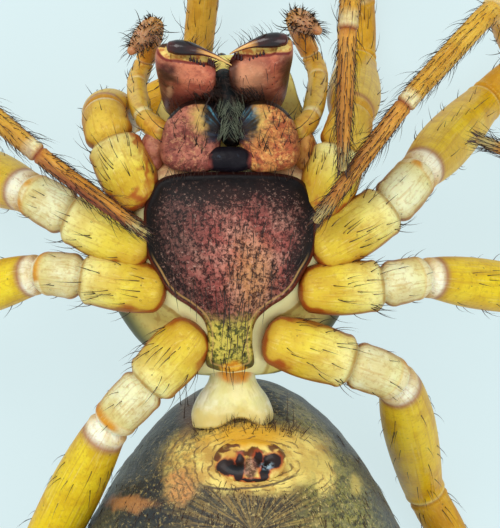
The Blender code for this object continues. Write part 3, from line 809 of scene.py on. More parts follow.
# %% Build the palps
PALP_BANDS = (
    (-0.30, "E0C050"), (0.00, "D8A030"), (0.95, "E2B438"), (1.00, "F0E0A8"), (1.10, "E2B83C"),
    (1.95, "E2B438"), (2.00, "EFDDA8"), (2.08, "E0B03C"), (2.95, "DCA83C"), (3.00, "EEDCA8"),
    (3.10, "D89A34"), (3.90, "D89038"), (4.00, "E8C880"), (4.08, "E09A30"), (4.35, "DC9848"),
    (4.70, "D89C6C"), (5.00, "C88C58"),
)
PALP_BRISTLES = (
    (0.2, 2.9, 40, (0.04, 0.07), (20, 45), 0.0018),
    (3.1, 4.0, 34, (0.04, 0.07), (30, 55), 0.0020),
    (4.1, 5.0, 110, (0.035, 0.07), (28, 70), 0.0015),
    (4.10, 4.98, 110, (0.028, 0.040), (36, 62), 0.0024, 0.40),
    (3.4, 4.9, 10, (0.08, 0.12), (60, 85), 0.0021),
)


def palp_finish():
    f = Finish("palp_skin", 0.42, soak=(0.3, (1.0, 0.5, 0.25), 0.04))
    f.paint(banded(f, PALP_BANDS, 5))
    f.lay("C0704A", f.specks(40.0, 0.46, 0.64, 4.0, 0.65), 0.4, "MULTIPLY")
    return f.relief(f.noise(70.0, 2.0), 0.0012)


PALP_SKIN = palp_finish()
for side, joints in PALPS.items():
    rows = limb_rows(joints, PALP_RADII, 1.0, 24)
    nodes = [f"palp_{side}_base", f"palp_{side}_tip"]
    piece(f"palp_{side}", tube(rows, 28), PALP_SKIN, nodes)
    hairs = plant(random.Random("palp " + side), framed(rows), PALP_BRISTLES)
    coat(f"bristles_palp_{side}", hairs, DARK_HAIR)

# %% [markdown]
# ## The sternum
#
# The sternum is a shield between the coxae: nearly flat, with a rounded edge and a thin raised rim.
# It is lofted along the body, and its height comes from how far a point lies from the outline, so the
# edge is rounded alike all round. That distance is stored, because the dark border follows it too.

# %% Sternum shape
STERNUM_OUTLINE = [
    (-0.380, 0.0), (-0.374, 0.040), (-0.360, 0.078), (-0.34, 0.085), (-0.28, 0.078), (-0.235, 0.080),
    (-0.19, 0.098), (-0.15, 0.143), (-0.12, 0.19), (-0.085, 0.226), (-0.03, 0.258), (0.02, 0.287),
    (0.085, 0.303), (0.185, 0.303), (0.25, 0.279), (0.295, 0.248), (0.315, 0.19), (0.322, 0.10),
    (0.3235, 0.0),
]
STERNUM_LOW, STERNUM_HIGH = STERNUM_OUTLINE[0][0], STERNUM_OUTLINE[-1][0]
STERNUM_EDGE_Z = 1.055
STERNUM_FLOOR_Z = 0.930
RIM_STEPS = 160
REAR_DROP = 0.16
DOME_RISE, DOME_WIDTH = 0.058, 0.060
MIDDLE_RISE = 0.045


def sternum_rim():
    """The outline of the shield as a closed ring of points."""
    ys = [STERNUM_LOW + (STERNUM_HIGH - STERNUM_LOW) * i / RIM_STEPS for i in range(RIM_STEPS + 1)]
    half = [(along(STERNUM_OUTLINE, y), y) for y in ys]
    return np.array(half + [(-x, y) for x, y in reversed(half)])


RIM = sternum_rim()


def from_rim(x, y):
    """How far a point of the shield lies from its outline."""
    a, b = RIM, np.roll(RIM, -1, 0)
    run = b - a
    t = np.clip(((np.array((x, y)) - a) * run).sum(1) / np.maximum((run**2).sum(1), 1e-12), 0, 1)
    return float(np.sqrt((((a + run * t[:, None]) - (x, y)) ** 2).sum(1).min()))


def rear_drop(y):
    """The belly side sinks a little towards the waist."""
    return REAR_DROP * max(0.0, -y) ** 1.5


def sternum_top(x, y, away):
    dome = DOME_RISE * (1 - math.exp(-away / DOME_WIDTH))
    rim = 0.006 * bell(away - 0.010, 0.008)
    middle = MIDDLE_RISE * max(0.0, 1 - (x / 0.32) ** 2 - ((y - 0.06) / 0.42) ** 2)
    return STERNUM_EDGE_Z + dome + rim + middle - rear_drop(y) + 0.003 * rough((x, y, 0), 9.0)


def sternum_place(u, v):
    turn = 2 * math.pi * u
    y = STERNUM_LOW + (STERNUM_HIGH - STERNUM_LOW) * (0.5 - 0.5 * math.cos(math.pi * v))
    side, up = math.cos(turn), math.sin(turn)
    x = along(STERNUM_OUTLINE, y) * signed_power(side, 0.9)
    if up <= 0:
        under = (STERNUM_EDGE_Z - STERNUM_FLOOR_Z) * (-up) ** 0.4
        return x, y, STERNUM_EDGE_Z - under - rear_drop(y) * (1 + up), 0.0
    away = from_rim(x, y)
    edge = STERNUM_EDGE_Z - rear_drop(y)
    return x, y, edge + (sternum_top(x, y, away) - edge) * min(1.0, up * 4) ** 0.5, away


print("shield rim points:", len(RIM))

# %% [markdown]
# ## The finish of the sternum
#
# Its ground is pinkish brown and turns ochre behind the middle. A dark grain lies over it, densest
# along the front and the sides, which end in a black border. The narrow rear end is olive yellow with
# an orange plate before the waist. A thin red-brown line runs along the rim.


# %% Sternum finish
LOOSE_ON_STERNUM = 150
UPRIGHT_ON_STERNUM = 46


def sternum_finish():
    f = Finish("sternum_shell", 0.46, 0.16, (0.1, (1.0, 0.4, 0.3), 0.03))
    y, away = f.axis("Y"), f.mark("rim")
    middle = f.spot(seen(243, 262), (0.160, 0.205), 0.80, (8.0, 0.16))
    f.paint(f.mix(f.specks(11.0, 0.40, 0.62, 4.0, 0.6), "AE564C", "CE8A76"))
    f.lay("6A2622", f.specks(30.0, 0.48, 0.62, 5.0, 0.7), 0.60)
    f.lay("CE9456", f.spot(seen(252, 282), (0.070, 0.13), 0.8, (10.0, 0.10)), 0.65)
    f.paint(f.mix(middle, "5E3C36", f.colour))

    # Where the grain is dense
    front = f.span(f.plus(y, f.times(f.noise(11.0, 4.0), 0.12)), 0.22, 0.35)
    inward = f.plus(away, f.shake(13.0, 0.07, 4.0))
    side = f.times(f.span(inward, 0.085, 0.020), f.span(y, -0.10, 0.03, 0.15, 1.0))
    shade = f.highest(front, side)
    ribs = f.noise(1.0, 4.0, 0.7, f.fan(seen(236, 380), 34.0, 8.0))
    grain = f.plus(f.times(f.noise(68.0, 6.0, 0.8), 0.76), f.times(ribs, 0.24))
    dark = f.span(f.plus(grain, f.times(shade, 0.14)), 0.452, 0.560)
    f.lay(f.mix(middle, "0C0708", "2A0B0A"), dark, 0.94)
    f.lay("DEAC98", f.times(f.specks(80.0, 0.56, 0.66, 5.0, 0.8), f.span(shade, 0.3, 0.8, 0.44, 0.40)))
    band = f.span(f.plus(y, f.times(f.noise(14.0), 0.09)), 0.300, 0.345)
    border = f.times(f.span(inward, 0.042, 0.020), f.span(y, -0.07, 0.03))
    f.lay("0F0A0C", f.highest(band, border), 0.94)

    # The rear end
    rear = f.plus(y, f.times(f.noise(20.0), 0.06))
    wings = f.span(f.plus(rear, f.times(f.size(f.axis("X")), -0.5)), -0.325, -0.350)
    olive = f.mix(f.specks(44.0, 0.44, 0.60, 4.0, 0.72), "CDB850", "50501E")
    plate = f.spot(seen(234.5, 372), (0.048, 0.038), 0.25, (24.0, 0.04))
    f.lay(olive, f.span(rear, -0.130, -0.205))
    f.lay("3A3C1C", wings, 0.85)
    f.lay(f.mix(f.specks(50.0, 0.42, 0.6), "E8B23A", "CE8420"), plate)

    # The rim and the groove beside it
    rim = f.times(f.span(away, 0.013, 0.005), f.span(plate, 0.5, 0.0), f.span(y, 0.26, 0.10, 0.25, 1.0))
    f.lay("5E2418", f.times(rim, f.span(y, -0.24, -0.18, 0.25, 0.85)))
    f.lay("C89A58", f.times(f.line(away, 0.018, 0.005, 0.001), f.span(y, 0.05, -0.02)), 0.55)
    return f.relief(f.plus(f.noise(78.0, 4.0, 0.72), f.noise(30.0, 2.0)), 0.0035)


def sternum_bristles():
    """Bristles all over the shield that point to the rear, and upright ones along its front edge."""
    rng = random.Random("sternum")
    hairs = []
    while len(hairs) < LOOSE_ON_STERNUM:
        x, y = rng.uniform(-0.3, 0.3), rng.uniform(STERNUM_LOW, STERNUM_HIGH)
        if abs(x) > along(STERNUM_OUTLINE, y) * 0.94:
            continue
        root = Vector((x, y, sternum_top(x, y, from_rim(x, y)) - 0.002))
        way = Vector((-x * 1.3 + rng.uniform(-0.2, 0.2), -0.9, 0.35))
        reach = rng.uniform(0.045, 0.085) + 0.07 * bell(math.hypot(x - 0.02, y + 0.13), 0.11)
        bend = Vector((rng.uniform(-0.1, 0.1), -0.2, -0.25))
        spot = (0.25 + x, (y - STERNUM_LOW) / (STERNUM_HIGH - STERNUM_LOW))
        hairs.append((root, way, bend, reach, 0.0019, spot))
    for _ in range(UPRIGHT_ON_STERNUM):
        x = rng.uniform(-0.25, 0.25)
        root = Vector((x, 0.300 + rng.uniform(-0.02, 0.012) - 0.2 * x * x, 1.075))
        way = Vector((rng.uniform(-0.5, 0.5), 0.6, 0.8))
        hairs.append((root, way, Vector((0, 0.3, -0.3)), rng.uniform(0.05, 0.085), 0.0017, (0.25 + x, 0.95)))
    return hairs


shield = skin(120, 120, sternum_place, ("rim",))
piece("sternum_shield", shield, sternum_finish(), ["sternum"])
coat("bristles_sternum", sternum_bristles(), DARK_HAIR)

# %% [markdown]
# ## The front body
#
# Behind the sternum lies the carapace, the shell of the back, which rests towards the floor here. Its
# belly side is soft pale skin between the coxae, which swells to a collar round the sternum. Both are
# one closed skin: brown with darker rays from a pit in the middle of the back, and cream on the belly
# side, olive towards its edge.

# %% Carapace shape
CARAPACE_FRONT = 0.742
CARAPACE_REAR = -0.400
PLEURA_Z = 0.925
CARAPACE_HALF_WIDTH = [
    (-0.400, 0.0), (-0.385, 0.16), (-0.34, 0.24), (-0.25, 0.34), (-0.10, 0.425), (0.08, 0.44),
    (0.25, 0.40), (0.42, 0.31), (0.58, 0.245), (0.70, 0.20), (0.73, 0.14), (0.742, 0.0),
]
CARAPACE_BACK = [
    (-0.400, 0.78), (-0.385, 0.70), (-0.34, 0.655), (-0.22, 0.585), (-0.08, 0.535), (0.15, 0.49),
    (0.32, 0.468), (0.48, 0.468), (0.60, 0.50), (0.70, 0.57), (0.73, 0.62), (0.742, 0.70),
]
CARAPACE_BELLY = [
    (-0.400, 0.78), (-0.385, 0.86), (-0.33, PLEURA_Z), (0.36, PLEURA_Z), (0.44, 0.83), (0.50, 0.775),
    (0.56, 0.76), (0.70, 0.76), (0.73, 0.74), (0.742, 0.70),
]
CARAPACE_MARGIN = [(-0.400, 0.78), (-0.25, 0.81), (0.20, 0.82), (0.45, 0.76), (0.60, 0.71), (0.742, 0.70)]
PIT_Y = -0.06
COLLAR_RISE = 0.110
COLLAR_WIDTH = 0.065
RAYS = 8
RAY_WAVES = 50.3


def from_shield(x, y):
    """How far a point of the belly side lies outside the sternum, or less than 0 inside it."""
    inside = STERNUM_LOW < y < STERNUM_HIGH and abs(x) < along(STERNUM_OUTLINE, y)
    return -from_rim(x, y) if inside else from_rim(x, y)


def carapace_place(u, v):
    y = CARAPACE_FRONT - (CARAPACE_FRONT - CARAPACE_REAR) * (0.5 - 0.5 * math.cos(math.pi * v))
    turn = 2 * math.pi * u
    margin = along(CARAPACE_MARGIN, y)
    side, up = math.cos(turn), math.sin(turn)
    x = along(CARAPACE_HALF_WIDTH, y) * signed_power(side, 0.85)
    if up > 0:
        z = margin + (along(CARAPACE_BELLY, y) - margin) * up**0.5
        shield = from_shield(x, y)
        collar = COLLAR_RISE * bell(max(0.0, shield), COLLAR_WIDTH) - rear_drop(y)
        z += max(0.0, collar) * min(1.0, up * 3) + 0.004 * rough((x, y, z), 14.0) * up
        return x, y, z, up, shield
    z = margin - (margin - along(CARAPACE_BACK, y)) * (-up) ** 0.95
    ray = math.atan2(x, y - PIT_Y)
    far = math.hypot(x, y - PIT_Y)
    groove = 0.007 * bell(far - 0.17, 0.12) * max(0.0, math.cos(ray * RAYS)) ** 3
    groove += 0.022 * bell(x, 0.010) * bell(y - PIT_Y, 0.05)
    return x, y, z + groove * (-up), up, 1.0


def carapace_finish():
    f = Finish("carapace_shell", 0.42, 0.22, (0.12, (1.0, 0.6, 0.3), 0.06))
    up = f.mark("up")

    # The back shell
    turn = f.node("TexGradient", {0: f.moved(f.mm, (0, -PIT_Y, 0), (1, 1, 1))}, gradient_type="RADIAL")
    waves = f.calc("SINE", f.times(turn.outputs["Fac"], RAY_WAVES))
    f.paint(f.mix(f.noise(6.0, 4.0), "7C4A1A", "9A6424"))
    f.lay("4A2C14", f.span(f.plus(waves, f.noise(9.0)), 0.6, 1.4), 0.6)
    f.lay("4C4E38", f.span(up, -0.30, -0.02))
    shell = f.colour

    # The soft belly side
    shield = f.plus(f.mark("shield"), f.shake(14.0, 0.03))
    rear = f.span(f.axis("Y"), 0.12, -0.06)
    f.paint(f.mix(f.noise(16.0, 4.0), "F6E68E", "EACE62"))
    f.lay("C48A38", f.specks(34.0, 0.52, 0.66), 0.45)
    f.lay("9A985C", f.times(f.span(shield, 0.125, 0.175), rear), 0.85)
    f.lay("A87C34", f.line(shield, 0.050, 0.010, 0.003), 0.55)
    f.lay("F0E8AC", f.span(shield, 0.048, 0.038), 0.85)
    f.lay("4A5040", f.times(f.span(up, 0.62, 0.30), rear), 0.85)
    flushed = f.mix(f.specks(50.0, 0.45, 0.6), "C87A58", "E0A878")
    for centre in (seen(168, 170), seen(294, 170)):
        f.lay(flushed, f.spot(centre, (0.110, 0.034), 0.7, (18.0, 0.05)), 0.75)
    f.paint(f.mix(f.span(up, 0.05, 0.25), shell, f.colour))
    return f.relief(f.noise(40.0), 0.003, 0.5)


shell = skin(144, 128, carapace_place, ("up", "shield"))
piece("carapace_shell", shell, carapace_finish(), ["carapace"])

# %% [markdown]
# ## Labium
#
# The labium is a small dark lip in front of the sternum. It is a rounded block: a ball squared off a
# little, which can also be leaned, dented and cut to shape. The same block serves for the other parts
# of the mouth.


# %% Rounded blocks
def block(middle, half, power, lean=0.0, around=56, rows=40, dent=None, shape=None):
    """A ball squared off by power, reshaped, and leaned in the plane of the picture."""
    middle = Vector(middle)

    def place(u, v):
        turn = 2 * math.pi * u
        level = math.cos(math.pi * v)
        ring = signed_power(math.sin(math.pi * v), power)
        x = half[0] * ring * signed_power(math.cos(turn), power)
        y = half[1] * ring * signed_power(math.sin(turn), power)
        z = half[2] * signed_power(level, power)
        if shape:
            x, y = shape(x, y)
        if dent:
            z += dent(x, y) * max(0.0, level)
        return (
            middle.x + x * math.cos(lean) - y * math.sin(lean),
            middle.y + x * math.sin(lean) + y * math.cos(lean),
            middle.z + z,
            level,
            math.sin(math.pi * v) * min(1.0, max(0.0, math.sin(turn) / 0.5)),
        )

    return skin(around, rows, place, ("up", "front"))


def labium_shape(x, y):
    """Wavers the edges of the lip."""
    return x * (1 + 0.10 * rough((x, y, 0), 22.0)), y * (1 + 0.16 * rough((y, x, 0), 26.0))


def labium_finish():
    f = Finish("labium_shell", 0.40, 0.12)
    f.paint(f.mix(f.noise(30.0), "0B0B12", "1D161C"))
    # Blue-grey specks: painted highlights on the dark lip.
    f.lay("3E4A58", f.specks(40.0, 0.60, 0.72, 4.0, 0.7), 0.5)
    f.lay("9A4C42", f.span(f.plus(f.size(f.axis("X")), f.times(f.noise(24.0), 0.05)), 0.084, 0.108), 0.80)
    return f.relief(f.noise(50.0, 4.0), 0.006, 0.7)


lip = block((0, 0.368, 1.065), (0.092, 0.046, 0.066), 0.75, 0.0, 72, 48, None, labium_shape)
piece("labium_shell", lip, labium_finish(), ["labium"])

# %% [markdown]
# ## Maxillae
#
# On both sides of the labium stand the maxillae, two blunt plates with a black cutting line along their front
# and a brush of hair on their inner edge, over a dark blue patch with painted teal highlights. The photograph
# has the right one darker and pinker than the left one, so each has its own colours.

# %% Maxillae
MAXILLA_MIDDLE = Vector((0.1335, 0.4515, 1.040))
MAXILLA_HALF = (0.104, 0.130, 0.085)
MAXILLA_LEAN = math.radians(7)
MAXILLA_COLOURS = {"left": ("D28A4C", "B25C38", "E8B468"), "right": ("B46C58", "86463C", "C88E66")}
MAXILLA_TEAL_HIGHLIGHT = {"left": 0.5, "right": 0.8}


def maxilla_shape(sign):
    """Cuts the outer front corner off and draws the inner one towards the mouth."""
    def shape(x, y):
        out = sign * x / MAXILLA_HALF[0]
        front = max(0.0, y / MAXILLA_HALF[1])
        y -= 0.060 * front * max(0.0, (out + 0.35) / 1.35) ** 2
        y -= 0.012 * front * max(0.0, -out - 0.6)
        x -= sign * 0.010 * front * max(0.0, -out)
        x -= sign * 0.010 * front * max(0.0, out)
        x += sign * 0.010 * max(0.0, -y / MAXILLA_HALF[1]) * max(0.0, out)
        return x, y
    return shape


def maxilla_relief(x, y):
    fold = bell(y + 0.03 - 0.5 * x, 0.02) + 0.5 * bell(y - 0.045 + 0.4 * x, 0.014)
    return 0.010 * rough((x, y, 0), 13.0) + 0.006 * rough((x, y, 0), 32.0) - 0.012 * fold


def maxilla_finish(side, sign):
    f = Finish(f"maxilla_shell_{side}", 0.42, 0.14, (0.12, (1.0, 0.4, 0.25), 0.04))
    light, deep, pale = MAXILLA_COLOURS[side]
    rays = f.specks(1.0, 0.42, 0.62, 4.0, 0.65, place=f.fan((0.0, 0.44), 13.0, 9.0))
    yellow = f.spot((sign * 0.090, 0.512), (0.038, 0.050), 0.8, (30.0, 0.06))
    blue = f.spot((sign * 0.046, 0.502), (0.050, 0.088), 0.35, (26.0, 0.08))
    teal_highlight = f.spot((sign * 0.068, 0.528), (0.026, 0.030), 0.6, (34.0, 0.05))
    f.paint(f.mix(f.specks(22.0, 0.42, 0.60, 5.0, 0.7), light, deep))
    f.lay(pale, f.specks(48.0, 0.52, 0.64, 4.0, 0.7), 0.7)
    f.lay("4A241E", f.specks(76.0, 0.51, 0.60, 4.0, 0.75), 0.65)
    f.lay("4E241E", f.specks(1.0, 0.53, 0.62, 3.0, 0.6, place=f.fan((0.0, 0.50), 12.0, 22.0)), 0.45)
    f.lay(f.mix(f.noise(50.0), "ECD070", "C89648"), yellow, 0.75)
    f.lay(f.mix(rays, "080C14", "13283A"), blue, 0.96)
    # Teal streaks on the blue patch: painted highlights, stronger on the right maxilla.
    f.lay(f.mix(f.specks(50.0, 0.42, 0.6), "24546A", "5C94A6"), f.times(teal_highlight, rays), MAXILLA_TEAL_HIGHLIGHT[side])
    f.lay("0A0506", f.span(f.plus(f.mark("front"), f.shake(30.0, 0.10)), 0.74, 0.80), 0.96)
    f.lay("6A3428", f.span(f.size(f.axis("X")), 0.205, 0.238), 0.45)
    return f.relief(f.noise(48.0, 4.0, 0.7), 0.0065, 0.7)


def maxilla_bristles(side, sign):
    """A brush on the inner edge, tufts before the jaws, loose bristles, and long ones at the outer side."""
    rng = random.Random("maxilla " + side)
    brush, loose = [], []
    for _ in range(90):
        share = rng.random()
        x, y = sign * rng.uniform(0.016, 0.058), 0.425 + 0.120 * share
        root = Vector((x, y, 1.080 + rng.uniform(0, 0.030)))
        way = Vector((-sign * rng.uniform(0.1, 0.9), rng.uniform(0.2, 1.3), rng.uniform(0.1, 0.5)))
        spot = (0.5 + root.x, share)
        brush.append((root, way, Vector((0, 0.4, -0.1)), rng.uniform(0.025, 0.05), 0.0009, spot))
    for _ in range(58):
        root = Vector((sign * rng.uniform(0.025, 0.125), rng.uniform(0.560, 0.585), 1.085))
        way = Vector((rng.uniform(-0.7, 0.5), 0.9, rng.uniform(0.3, 0.8)))
        spot = (0.5 + root.x, root.y)
        loose.append((root, way, Vector((-0.5, 0.1, 0.0)), rng.uniform(0.04, 0.075), 0.0015, spot))
    for _ in range(24):
        x, y = rng.uniform(0.07, 0.215), rng.uniform(0.37, 0.54)
        root = Vector((sign * x, y, 1.116))
        way = Vector((sign * rng.uniform(-0.5, 0.4), rng.uniform(0.4, 0.9), 0.40))
        spot = (0.5 + root.x, y)
        loose.append((root, way, Vector((0.15, 0.1, -0.2)), rng.uniform(0.055, 0.10), 0.0018, spot))
    for x, y, reach in ((0.218, 0.465, 0.14), (0.226, 0.420, 0.08), (0.196, 0.515, 0.07)):
        root = Vector((sign * x, y, 1.085))
        way = Vector((sign * 0.95, 0.35, 0.25))
        loose.append((root, way, Vector((-sign * 0.25, 0.45, 0)), reach, 0.0022, (0.5 + root.x, y)))
    coat(f"brush_maxilla_{side}", brush, OLIVE_HAIR)
    coat(f"bristles_maxilla_{side}", loose, DARK_HAIR)


for side, sign in SIDES:
    middle = (sign * MAXILLA_MIDDLE.x, MAXILLA_MIDDLE.y, MAXILLA_MIDDLE.z)
    plate = block(middle, MAXILLA_HALF, 0.6, sign * MAXILLA_LEAN, 88, 56, maxilla_relief, maxilla_shape(sign))
    piece(f"maxilla_shell_{side}", plate, maxilla_finish(side, sign), [f"maxilla_{side}"])
    maxilla_bristles(side, sign)

# %% [markdown]
# ## Bases of the palps and the mouth
#
# Outside each maxilla the base of the palp shows, and between the maxillae the mouth is a pad under the
# brushes, painted nearly black as the shade deep between them. The photograph shows both out of focus or in
# shadow, so plain rounded blocks with the right colour and relief are enough.

# %% Bases of the palps, and the mouth pad
PALP_ROOTS = (
    ("right", seen(152, 152), -0.25, "C88A68", "A8604A"),
    ("left", seen(304, 150), 0.25, "D89A4C", "B8682E"),
)


def palp_root_finish(name, light, deep):
    f = Finish(name, 0.42, 0.25, (0.15, (1.0, 0.4, 0.25), 0.04))
    f.paint(f.mix(f.specks(16.0, 0.40, 0.62, 4.0, 0.6), light, deep))
    f.lay("7A3424", f.specks(44.0, 0.50, 0.64, 4.0, 0.7), 0.6)
    return f.relief(f.noise(48.0, 4.0, 0.7), 0.005, 0.7)


def shaded_mouth_finish():
    f = Finish("shaded_mouth_pad", 0.5, 0.2)
    # Painted shade: the pad is nearly black, as the deep gap between the maxillae.
    f.paint(f.mix(f.specks(40.0, 0.45, 0.65, 4.0, 0.7), "0D1214", "3A2A24"))
    return f.relief(f.noise(50.0, 4.0, 0.7), 0.006, 0.7)


for side, centre, lean, light, deep in PALP_ROOTS:
    name = f"palp_root_{side}"
    root = block((*centre, 0.945), (0.050, 0.080, 0.085), 0.8, lean, 48, 36, maxilla_relief)
    piece(name, root, palp_root_finish(name, light, deep))
pad = block((-0.008, 0.548, 0.985), (0.052, 0.140, 0.085), 0.8, math.radians(8))
piece("shaded_mouth_pad", pad, shaded_mouth_finish())

# %% [markdown]
# ## Chelicerae
#
# The chelicerae are two thick jaws that reach up past the maxillae. Each is lofted through flat
# sections, and closed on top by a dome with a furrow in it, where the folded fang lies between two
# rows of teeth. The head is turned a little, so left and right have their own numbers.

# %% Chelicera shape
CHELICERA_LEVELS = [
    (0.766, 0.600, 0.180, 0.086), (0.84, 0.622, 0.198, 0.094), (0.94, 0.650, 0.208, 0.092),
    (1.04, 0.680, 0.216, 0.082), (1.12, 0.708, 0.224, 0.070), (1.165, 0.722, 0.214, 0.058),
    (1.182, 0.728, 0.170, 0.042),
]
LEVEL_TABLES = [[(row[0], row[i]) for row in CHELICERA_LEVELS] for i in (1, 2, 3)]
CHELICERA_SIDES = {
    "left": dict(sign=1, inner=-0.003, forward=0.0, share=1.0, slant=0.42),
    "right": dict(sign=-1, inner=-0.049, forward=-0.022, share=0.95, slant=0.34),
}
SLANT_FROM = 0.90
SLANT_SPAN = 0.282
BASE_END = 0.08
DOME_START = 0.80
FURROW_BACK, FURROW_DEPTH, FURROW_HALF_WIDTH = 0.026, 0.022, 0.015
FANG_PATHS = {
    "left": [(0.188, 0.782, 1.194), (0.112, 0.784, 1.206), (0.049, 0.761, 1.206), (0.000, 0.733, 1.197)],
    "right": [(-0.206, 0.757, 1.194), (-0.140, 0.756, 1.206), (-0.066, 0.739, 1.206), (0.005, 0.694, 1.192)],
}
FURROW_WIDTH = [(0.0, 0.046), (0.35, 0.046), (0.60, 0.036), (0.80, 0.020), (1.0, 0.010)]
AHEAD = -1.0


def bezier(path, t):
    """A point and direction on a curve drawn by four points."""
    a, b, c, d = (Vector(point) for point in path)
    s = 1 - t
    point = a * s**3 + b * 3 * s * s * t + c * 3 * s * t * t + d * t**3
    ahead = (b - a) * s * s + (c - b) * 2 * s * t + (d - c) * t * t
    return point, ahead.normalized()


def fang_line(side, back):
    """The fang's own line in the plane of the picture, moved back into its furrow."""
    return [bezier(FANG_PATHS[side], i / 24)[0].xy - Vector((0, back)) for i in range(25)]


def chelicera(side):
    """One jaw. It stores how far a point lies behind the fang's edge, or less than -1 before it."""
    shape = CHELICERA_SIDES[side]
    low, high = CHELICERA_LEVELS[0][0], CHELICERA_LEVELS[-1][0]
    furrow = fang_line(side, FURROW_BACK)
    ridge = fang_line(side, 0.0)

    def place(u, v):
        turn = 2 * math.pi * u
        body = min(1.0, max(0.0, (v - BASE_END) / (DOME_START - BASE_END)))
        z = low + (high - low) * body
        shrink = 1.0
        if v < BASE_END:
            shrink = math.sin(math.pi / 2 * v / BASE_END)
        if v > DOME_START:
            shrink = math.cos(math.pi / 2 * (v - DOME_START) / (1 - DOME_START))
        y, width, half_depth = (along(table, z) for table in LEVEL_TABLES)
        half_width = width * shape["share"] / 2
        slant = shape["slant"] * max(0.0, z - SLANT_FROM) / SLANT_SPAN
        x = signed_power(math.cos(turn), 0.75) * half_width * shrink
        px = shape["inner"] + shape["sign"] * half_width + x
        py = y + shape["forward"] + half_depth * shrink * signed_power(math.sin(turn), 0.75)
        py += slant * shape["sign"] * x
        here = Vector((px, py))
        if v > DOME_START:
            near = min((here - point).length for point in furrow)
            z += 0.012 * (1 - shrink**2) - FURROW_DEPTH * bell(near, FURROW_HALF_WIDTH)
        if v < BASE_END:
            z -= 0.012 * (1 - shrink)
        reaches = [(here - point).length for point in ridge]
        reach = min(reaches)
        share = reaches.index(reach) / (len(ridge) - 1)
        before = py > min(ridge, key=lambda point: abs(point.x - px)).y
        return px, py, z, AHEAD - reach if before else reach - along(FURROW_WIDTH, share)

    return skin(96, 110, place, ("groove",))


print("jaw sections:", len(CHELICERA_LEVELS))

# %% [markdown]
# ## The finish of the chelicerae
#
# The jaws are reddish brown and mottled, and darker at their base. Painted shade darkens their outer sides,
# most on the right one, and the gap where they face each other, and pale spots on them are painted
# highlights. The floor of the furrow is yellow, with a dark red line behind it. The stored distance from the
# fang draws both.

# %% Chelicera finish and bristles
OUTER_SHADE_SPOTS = {
    "left": [(1.0, seen(289, 76), (0.032, 0.085), 0.6, (14.0, 0.05))],
    "right": [(1.0, seen(166, 77), (0.046, 0.046), 0.8, (26.0, 0.07)),
              (0.75, seen(160, 90), (0.046, 0.100), 0.7, (14.0, 0.06))],
}
HIGHLIGHT_SPOTS = {
    "left": (0.45, seen(252, 78), (0.06, 0.06), 0.7, (14.0, 0.06)),
    "right": (0.80, seen(169, 92), (0.014, 0.016), 0.8, (30.0, 0.05)),
}
BETWEEN_JAWS = {"left": 0.0, "right": -0.024}


def chelicera_finish(side):
    f = Finish(f"chelicera_shell_{side}", 0.38, 0.18, (0.12, (1.0, 0.4, 0.3), 0.04))
    f.paint(f.mix(f.specks(9.0, 0.4, 0.6, 4.0), "B45C44", "CC7A5A"))
    f.lay("842F2E", f.specks(24.0, 0.46, 0.66, 4.0, 0.6), 0.60)
    f.lay("E4A888", f.specks(46.0, 0.55, 0.68, 4.0, 0.7), 0.4)
    f.lay("7A3028", f.specks(80.0, 0.52, 0.64, 4.0, 0.75), 0.40)
    # Painted shade: dark patches on the outer side of each jaw.
    dark = 0.0
    for amount, *spot in OUTER_SHADE_SPOTS[side]:
        dark = f.highest(f.times(f.spot(*spot), amount), dark)
    f.lay("1E0A0C", dark, 0.92)
    # Pale spots: painted highlights.
    amount, *spot = HIGHLIGHT_SPOTS[side]
    f.lay("E2AC80", f.spot(*spot), amount)
    f.lay("58282A", f.span(f.plus(f.axis("Y"), f.times(f.noise(20.0), 0.04)), 0.650, 0.595), 0.65)
    # Painted shade in the gap where the jaws face each other.
    f.lay("26100F", f.line(f.axis("X"), BETWEEN_JAWS[side], 0.045, 0.012), 0.85)
    high = f.span(f.axis("Z"), 1.145, 1.165)
    edge = f.mark("groove")
    groove = f.plus(edge, f.shake(30.0, 0.008, 2.0))
    pale = f.mix(f.specks(40.0, 0.42, 0.62), "F0D478", "C87E3C")
    f.lay(pale, f.times(f.span(groove, 0.000, -0.006), high), 0.92)
    f.lay("6A1418", f.times(f.line(groove, 0.003, 0.007, 0.002), high), 0.85)
    f.lay("2A0A0C", f.times(f.span(edge, -0.45, -0.55), high), 0.92)
    return f.relief(f.noise(44.0, 4.0, 0.6), 0.0034)


